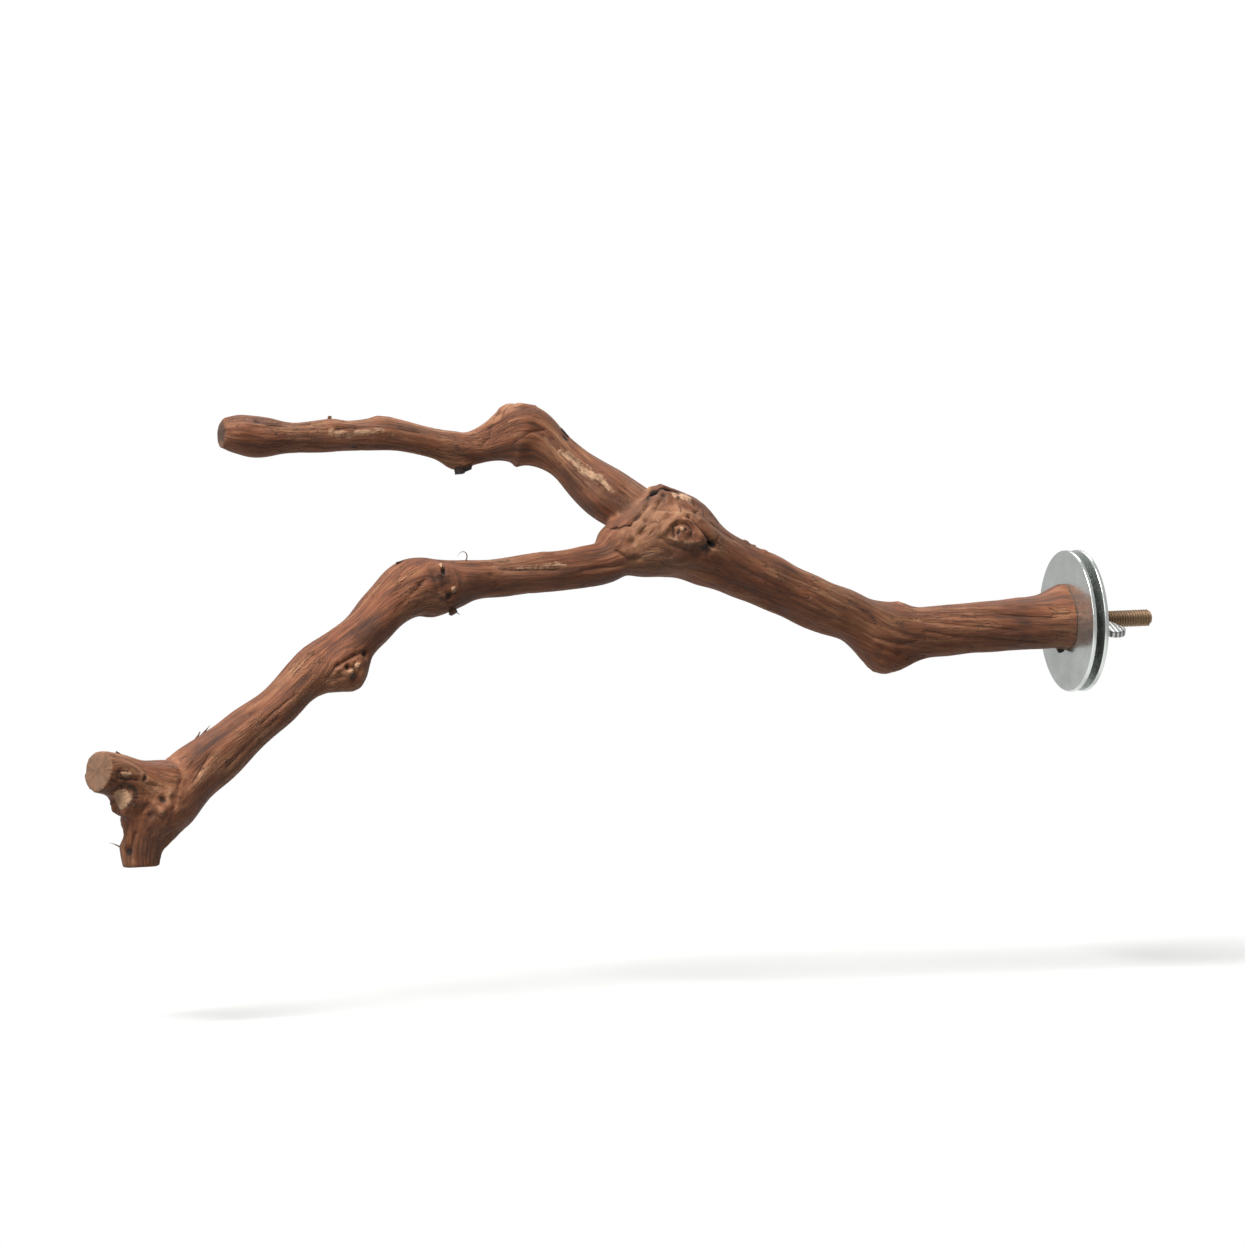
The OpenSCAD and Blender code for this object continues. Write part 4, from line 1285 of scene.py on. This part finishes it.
class PERCH_OT_vine_branch(bpy.types.Operator):
    """Make the forked branch, with its bark, knots, cracks, scars and slivers"""

    bl_idname = "perch.vine_branch"
    bl_label = "Vine branch"

    def execute(self, context):
        bark = context.scene.perch_bark
        made = branch_mesh(bark)
        skin = Skin(made.data)
        skin.add_burls()
        relief = skin.weather(bark)
        for scar in SCARS:
            skin.add_scar(scar)
        for spot in SPOTS:
            skin.add_spot(spot)
        for line in LINES:
            skin.add_line(line)
        skin.finish(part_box("branch"))
        values = {
            "grain": skin.strongest_grain(), "relief": relief, "burl": skin.burl, "hollow": skin.hollow,
            "bare": skin.bare, "sawn": skin.sawn, "heart": skin.heart(),
            "crack": skin.crack, "crack_weight": skin.crack_weight,
        }
        for name, held in values.items():
            write_values(made.data, name, held)
        smooth_shaded(made.data)
        wood = vine_wood(bark)
        made.data.materials.append(wood)
        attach(made, PERCH)
        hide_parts("branch")
        slivers = new_object("bark_slivers", sliver_mesh(skin))
        slivers.data.materials.append(wood)
        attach(slivers, PERCH)
        return {"FINISHED"}


def turned_mesh(name, rings, sides, closed=True):
    """A mesh turned about X through rings, each a function of the angle that gives x and the radius."""
    points = []
    for ring in rings:
        for k in range(sides):
            angle = tau * k / sides
            x, radius = ring(angle)
            points.append((x, radius * cos(angle), radius * sin(angle)))
    faces = tube_faces(0, len(rings), sides, closed)
    return closed_mesh(name, points, faces)


# Sides of the bolt and steps in one turn of each thread, and how hollow the wood thread's flanks are
BOLT_SIDES = 48
THREAD_STEPS = 10
SCREW_STEPS = 16
SCREW_FLANK = 0.45


def thread_share(x, angle, pitch, sharpness):
    """Depth of a thread as a share of its whole depth: 0 at the crest, 1 at the root."""
    turn = (x / pitch - angle / tau) % 1
    rise = 1 - abs(2 * turn - 1)
    return min(1, max(0, (rise - 0.12) / 0.78)) ** sharpness


def bolt_mesh(hardware):
    """Hanger bolt: gimlet point and wood thread, plain shank, machine thread and chamfered end."""
    low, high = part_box("hanger_bolt")
    radius = (high.z - low.z) / 2
    pitch = hardware.thread_pitch
    screw_pitch = hardware.screw_pitch
    shank_start = -12 * MM
    shank_end = -6 * MM
    shank_depth = 0.2 * MM
    shank_step = 0.5 * MM
    chamfer = 0.75 * MM
    point = 6 * MM
    point_radius = 0.2 * MM
    point_share = 0.08

    def ring_at(x):
        def ring(angle):
            if x < shank_start:
                fade = min(1, (shank_start - x) / screw_pitch)
                depth = hardware.screw_depth * fade * thread_share(x, angle, screw_pitch, SCREW_FLANK)
            elif x < shank_end:
                depth = shank_depth
            else:
                fade = min(1, (x - shank_end) / pitch)
                depth = hardware.thread_depth * fade * thread_share(x, angle, pitch, 1)
            taper = min(1, point_share + (x - low.x) / point)
            end = max(0, chamfer - (high.x - x))
            return x, max(point_radius, (radius - depth) * taper - end)
        return ring

    stations = list(np.arange(low.x, shank_start, screw_pitch / SCREW_STEPS))
    stations += list(np.arange(shank_start, shank_end, shank_step))
    stations += list(np.arange(shank_end, high.x, pitch / THREAD_STEPS))
    stations.append(high.x)
    return turned_mesh("threaded_bolt", [ring_at(x) for x in stations], BOLT_SIDES, closed=False)


class PERCH_OT_threaded_bolt(bpy.types.Operator):
    """Make the hanger bolt with its two threads"""

    bl_idname = "perch.threaded_bolt"
    bl_label = "Threaded bolt"

    def execute(self, context):
        hardware = context.scene.perch_hardware
        made = new_object("threaded_bolt", bolt_mesh(hardware))
        steel = plated_metal(
            "bolt steel", hardware.bolt_steel, metallic=1.0, rough=0.5, cloud=0.06, scratch=0.008 * MM
        )
        made.data.materials.append(steel)
        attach(made, PERCH)
        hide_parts("hanger_bolt")
        return {"FINISHED"}


# Sides of a washer and steps round each of its edges, and its hole's clearance about the bolt
WASHER_SIDES = 192
CORNER_STEPS = 6
HOLE_CLEARANCE = 0.2 * MM
# The nut's bore, and how far out from it the mesh is still drawn in to it
NUT_BORE = 3.05 * MM
BORE_REACH = 0.45 * MM


def washer_mesh(name, node, hardware):
    """A punched washer: flat faces, a rounded rim and a hole with softened edges."""
    low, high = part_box(node)
    outer = (high.z - low.z) / 2
    bolt_low, bolt_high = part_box("hanger_bolt")
    inner = (bolt_high.z - bolt_low.z) / 2 + HOLE_CLEARANCE
    rim = hardware.rim_round
    hole = hardware.hole_round
    corners = [
        (high.x - rim, outer - rim, rim),
        (high.x - hole, inner + hole, hole),
        (low.x + hole, inner + hole, hole),
        (low.x + rim, outer - rim, rim),
    ]
    rings = []
    for quarter, (x, radius, rounding) in enumerate(corners):
        for k in range(CORNER_STEPS + 1):
            turn = pi / 2 * (quarter + k / CORNER_STEPS)
            place = (x + rounding * sin(turn), radius + rounding * cos(turn))
            rings.append(lambda angle, place=place: place)
    return turned_mesh(name, rings, WASHER_SIDES)


class PERCH_OT_washers(bpy.types.Operator):
    """Make the two large washers"""

    bl_idname = "perch.washers"
    bl_label = "Washers"

    def execute(self, context):
        hardware = context.scene.perch_hardware
        zinc = plated_metal(
            "zinc plate", hardware.zinc, metallic=0.9, rough=0.22, cloud=0.04, scratch=0.006 * MM, grain=1000
        )
        for node, body in (("inner_washer", INNER_WASHER), ("outer_washer", OUTER_WASHER)):
            name = "plated_" + node
            made = new_object(name, washer_mesh(name, node, hardware))
            made.data.materials.append(zinc)
            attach(made, body)
            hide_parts(node)
        return {"FINISHED"}


class PERCH_OT_wing_nut(bpy.types.Operator):
    """Make the cast wing nut, with soft corners and a clean bore"""

    bl_idname = "perch.wing_nut"
    bl_label = "Wing nut"

    def execute(self, context):
        hardware = context.scene.perch_hardware
        made = even_copy("cast_wing_nut", "wing_nut", hardware.nut_step, NUT_ROUNDS)
        points = read_vectors(made.data.vertices, "co")
        low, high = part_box("wing_nut")
        reach = np.hypot(points[:, 1], points[:, 2])
        in_bore = (reach < NUT_BORE + BORE_REACH) & (reach > 0)
        scale = np.where(in_bore, NUT_BORE / np.maximum(reach, 1e-6), 1)
        points[:, 1] *= scale
        points[:, 2] *= scale
        points = np.clip(points, np.array(low), np.array(high))
        made.data.vertices.foreach_set("co", points.astype(np.float32).ravel())
        smooth_shaded(made.data)
        cast = plated_metal(
            "cast zinc", hardware.nut_zinc, metallic=0.9, rough=0.33, cloud=0.07, scratch=0.05 * MM,
            grain=700, ribs=True,
        )
        made.data.materials.append(cast)
        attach(made, WING_NUT)
        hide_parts("wing_nut")
        return {"FINISHED"}


# The floor's half width, what it throws back on the perch, and where it fades to white, in metres out
FLOOR_HALF = 8.0
FLOOR_BOUNCE = (0.14, 0.13, 0.12)
FLOOR_FADE = (0.22, 0.62)
# Each lamp's width and its place from what the camera looks at, in metres
LAMPS = {
    "key": (1.4, (-0.9, -0.43, 1.88)),
    "side": (0.5, (-0.95, -0.5, 0.42)),
    "rim": (0.7, (0.35, 0.8, 0.9)),
}
# How far right of the perch's middle the camera looks, its sensor's width in millimetres, and how near
# and far it sees, in metres
LOOK_RIGHT = 5 * MM
SENSOR_WIDTH = 36
NEAREST_SEEN = 0.05
FARTHEST_SEEN = 40


def floor_material(stage):
    """A pale floor that keeps the perch's shadow and fades to white far off."""
    t = NodeTree("pale floor")
    path = t.add("LightPath")
    seen = t.math("MAXIMUM", path.outputs["Is Camera Ray"], path.outputs["Is Glossy Ray"])
    seen = t.math("MAXIMUM", seen, path.outputs["Is Transmission Ray"])
    far = t.add("VectorMath", {"Vector": t.place()}, operation="LENGTH").outputs["Value"]
    bright = t.mix_values(path.outputs["Is Glossy Ray"], 1.0, stage.mirrored)
    white = t.add("Emission", {"Color": (1, 1, 1), "Strength": bright})
    pale = t.add("BsdfDiffuse", {"Color": tuple(stage.floor_colour)})
    dim = t.add("BsdfDiffuse", {"Color": FLOOR_BOUNCE})
    shown = t.add("MixShader", {"Fac": t.spread(far, *FLOOR_FADE, kind="SMOOTHSTEP")})
    t.feed(shown.inputs[1], pale.outputs[0])
    t.feed(shown.inputs[2], white.outputs[0])
    both = t.add("MixShader", {"Fac": seen})
    t.feed(both.inputs[1], dim.outputs[0])
    t.feed(both.inputs[2], shown.outputs[0])
    return t.output(both.outputs[0])


def make_world(stage):
    """White behind the perch, a little greyer in its metal, and a plain soft fill on everything else."""
    world = bpy.data.worlds.new("studio")
    world.use_nodes = True
    bpy.context.scene.world = world
    nodes = world.node_tree.nodes
    links = world.node_tree.links
    nodes.clear()
    path = nodes.new("ShaderNodeLightPath")

    def backdrop(strength):
        made = nodes.new("ShaderNodeBackground")
        made.inputs["Color"].default_value = (1, 1, 1, 1)
        made.inputs["Strength"].default_value = strength
        return made

    shown = backdrop(stage.fill)
    for ray, strength in (
        ("Is Glossy Ray", stage.mirrored), ("Is Transmission Ray", 1.0), ("Is Camera Ray", 1.0)
    ):
        mix = nodes.new("ShaderNodeMixShader")
        links.new(path.outputs[ray], mix.inputs["Fac"])
        links.new(shown.outputs[0], mix.inputs[1])
        links.new(backdrop(strength).outputs[0], mix.inputs[2])
        shown = mix
    out = nodes.new("ShaderNodeOutputWorld")
    links.new(shown.outputs[0], out.inputs["Surface"])


def aim(made, place, target):
    """Puts a lamp or a camera at a place, looking at the target."""
    made.location = place
    made.rotation_euler = (target - place).to_track_quat("-Z", "Y").to_euler()


def area_light(name, power, size, place, target):
    """A round soft lamp that looks at the target."""
    lamp = bpy.data.lights.new(name, "AREA")
    lamp.shape = "DISK"
    lamp.size = size
    lamp.energy = power
    aim(new_object(name, lamp), place, target)


class PERCH_OT_stage(bpy.types.Operator):
    """Set up the floor, the soft light and the camera"""

    bl_idname = "perch.stage"
    bl_label = "Stage"

    def execute(self, context):
        stage = context.scene.perch_stage
        low, high = CAD_BOX
        a = stage.azimuth
        e = stage.elevation
        right = Vector((cos(a), sin(a), 0))
        back = Vector((sin(a) * cos(e), -cos(a) * cos(e), sin(e)))
        target = (low + high) / 2 + right * LOOK_RIGHT
        floor = bpy.data.meshes.new("floor")
        corners = [(x * FLOOR_HALF, y * FLOOR_HALF, 0) for x, y in ((-1, -1), (1, -1), (1, 1), (-1, 1))]
        floor.from_pydata(corners, [], [(0, 1, 2, 3)])
        ground = new_object("floor", floor)
        ground.location = (target.x, target.y, low.z - stage.floor_drop)
        floor.materials.append(floor_material(stage))
        make_world(stage)
        powers = {"key": stage.key_power, "side": stage.side_power, "rim": stage.rim_power}
        for name, (size, place) in LAMPS.items():
            area_light(name, powers[name], size, target + Vector(place), target)
        lens = bpy.data.cameras.new("camera")
        lens.lens = stage.lens
        lens.sensor_width = SENSOR_WIDTH
        lens.clip_start = NEAREST_SEEN
        lens.clip_end = FARTHEST_SEEN
        camera = new_object("camera", lens)
        distance = stage.view_width * stage.lens / lens.sensor_width
        aim(camera, target + back * distance, target)
        context.scene.camera = camera
        context.scene.view_settings.view_transform = "Standard"
        return {"FINISHED"}


class PERCH_PT_panel(bpy.types.Panel):
    """Lists the perch's settings and pieces"""

    bl_idname = "PERCH_PT_panel"
    bl_label = "Bird perch"
    bl_space_type = "VIEW_3D"
    bl_region_type = "UI"
    bl_category = "Perch"

    def draw(self, context):
        for operator in OPERATORS:
            self.layout.operator(operator.bl_idname)
        for name in SETTINGS:
            group = getattr(context.scene, name)
            for key in group.bl_rna.properties.keys():
                if key not in ("rna_type", "name"):
                    self.layout.prop(group, key)


OPERATORS = (
    PERCH_OT_stage,
    PERCH_OT_vine_branch,
    PERCH_OT_threaded_bolt,
    PERCH_OT_washers,
    PERCH_OT_wing_nut,
)
SETTINGS = {
    "perch_bark": BarkSettings,
    "perch_hardware": HardwareSettings,
    "perch_stage": StageSettings,
}
CLASSES = (*SETTINGS.values(), *OPERATORS, PERCH_PT_panel)


def register():
    """Adds the settings, the operators and the panel to Blender."""
    for item in CLASSES:
        bpy.utils.register_class(item)
    for name, group in SETTINGS.items():
        setattr(bpy.types.Scene, name, PointerProperty(type=group))


def unregister():
    """Takes them out again."""
    for name in SETTINGS:
        delattr(bpy.types.Scene, name)
    for item in reversed(CLASSES):
        bpy.utils.unregister_class(item)


def main():
    """Makes the stage and every piece."""
    register()
    bpy.ops.perch.stage()
    bpy.ops.perch.vine_branch()
    bpy.ops.perch.threaded_bolt()
    bpy.ops.perch.washers()
    bpy.ops.perch.wing_nut()


if __name__ == "__main__":
    main()
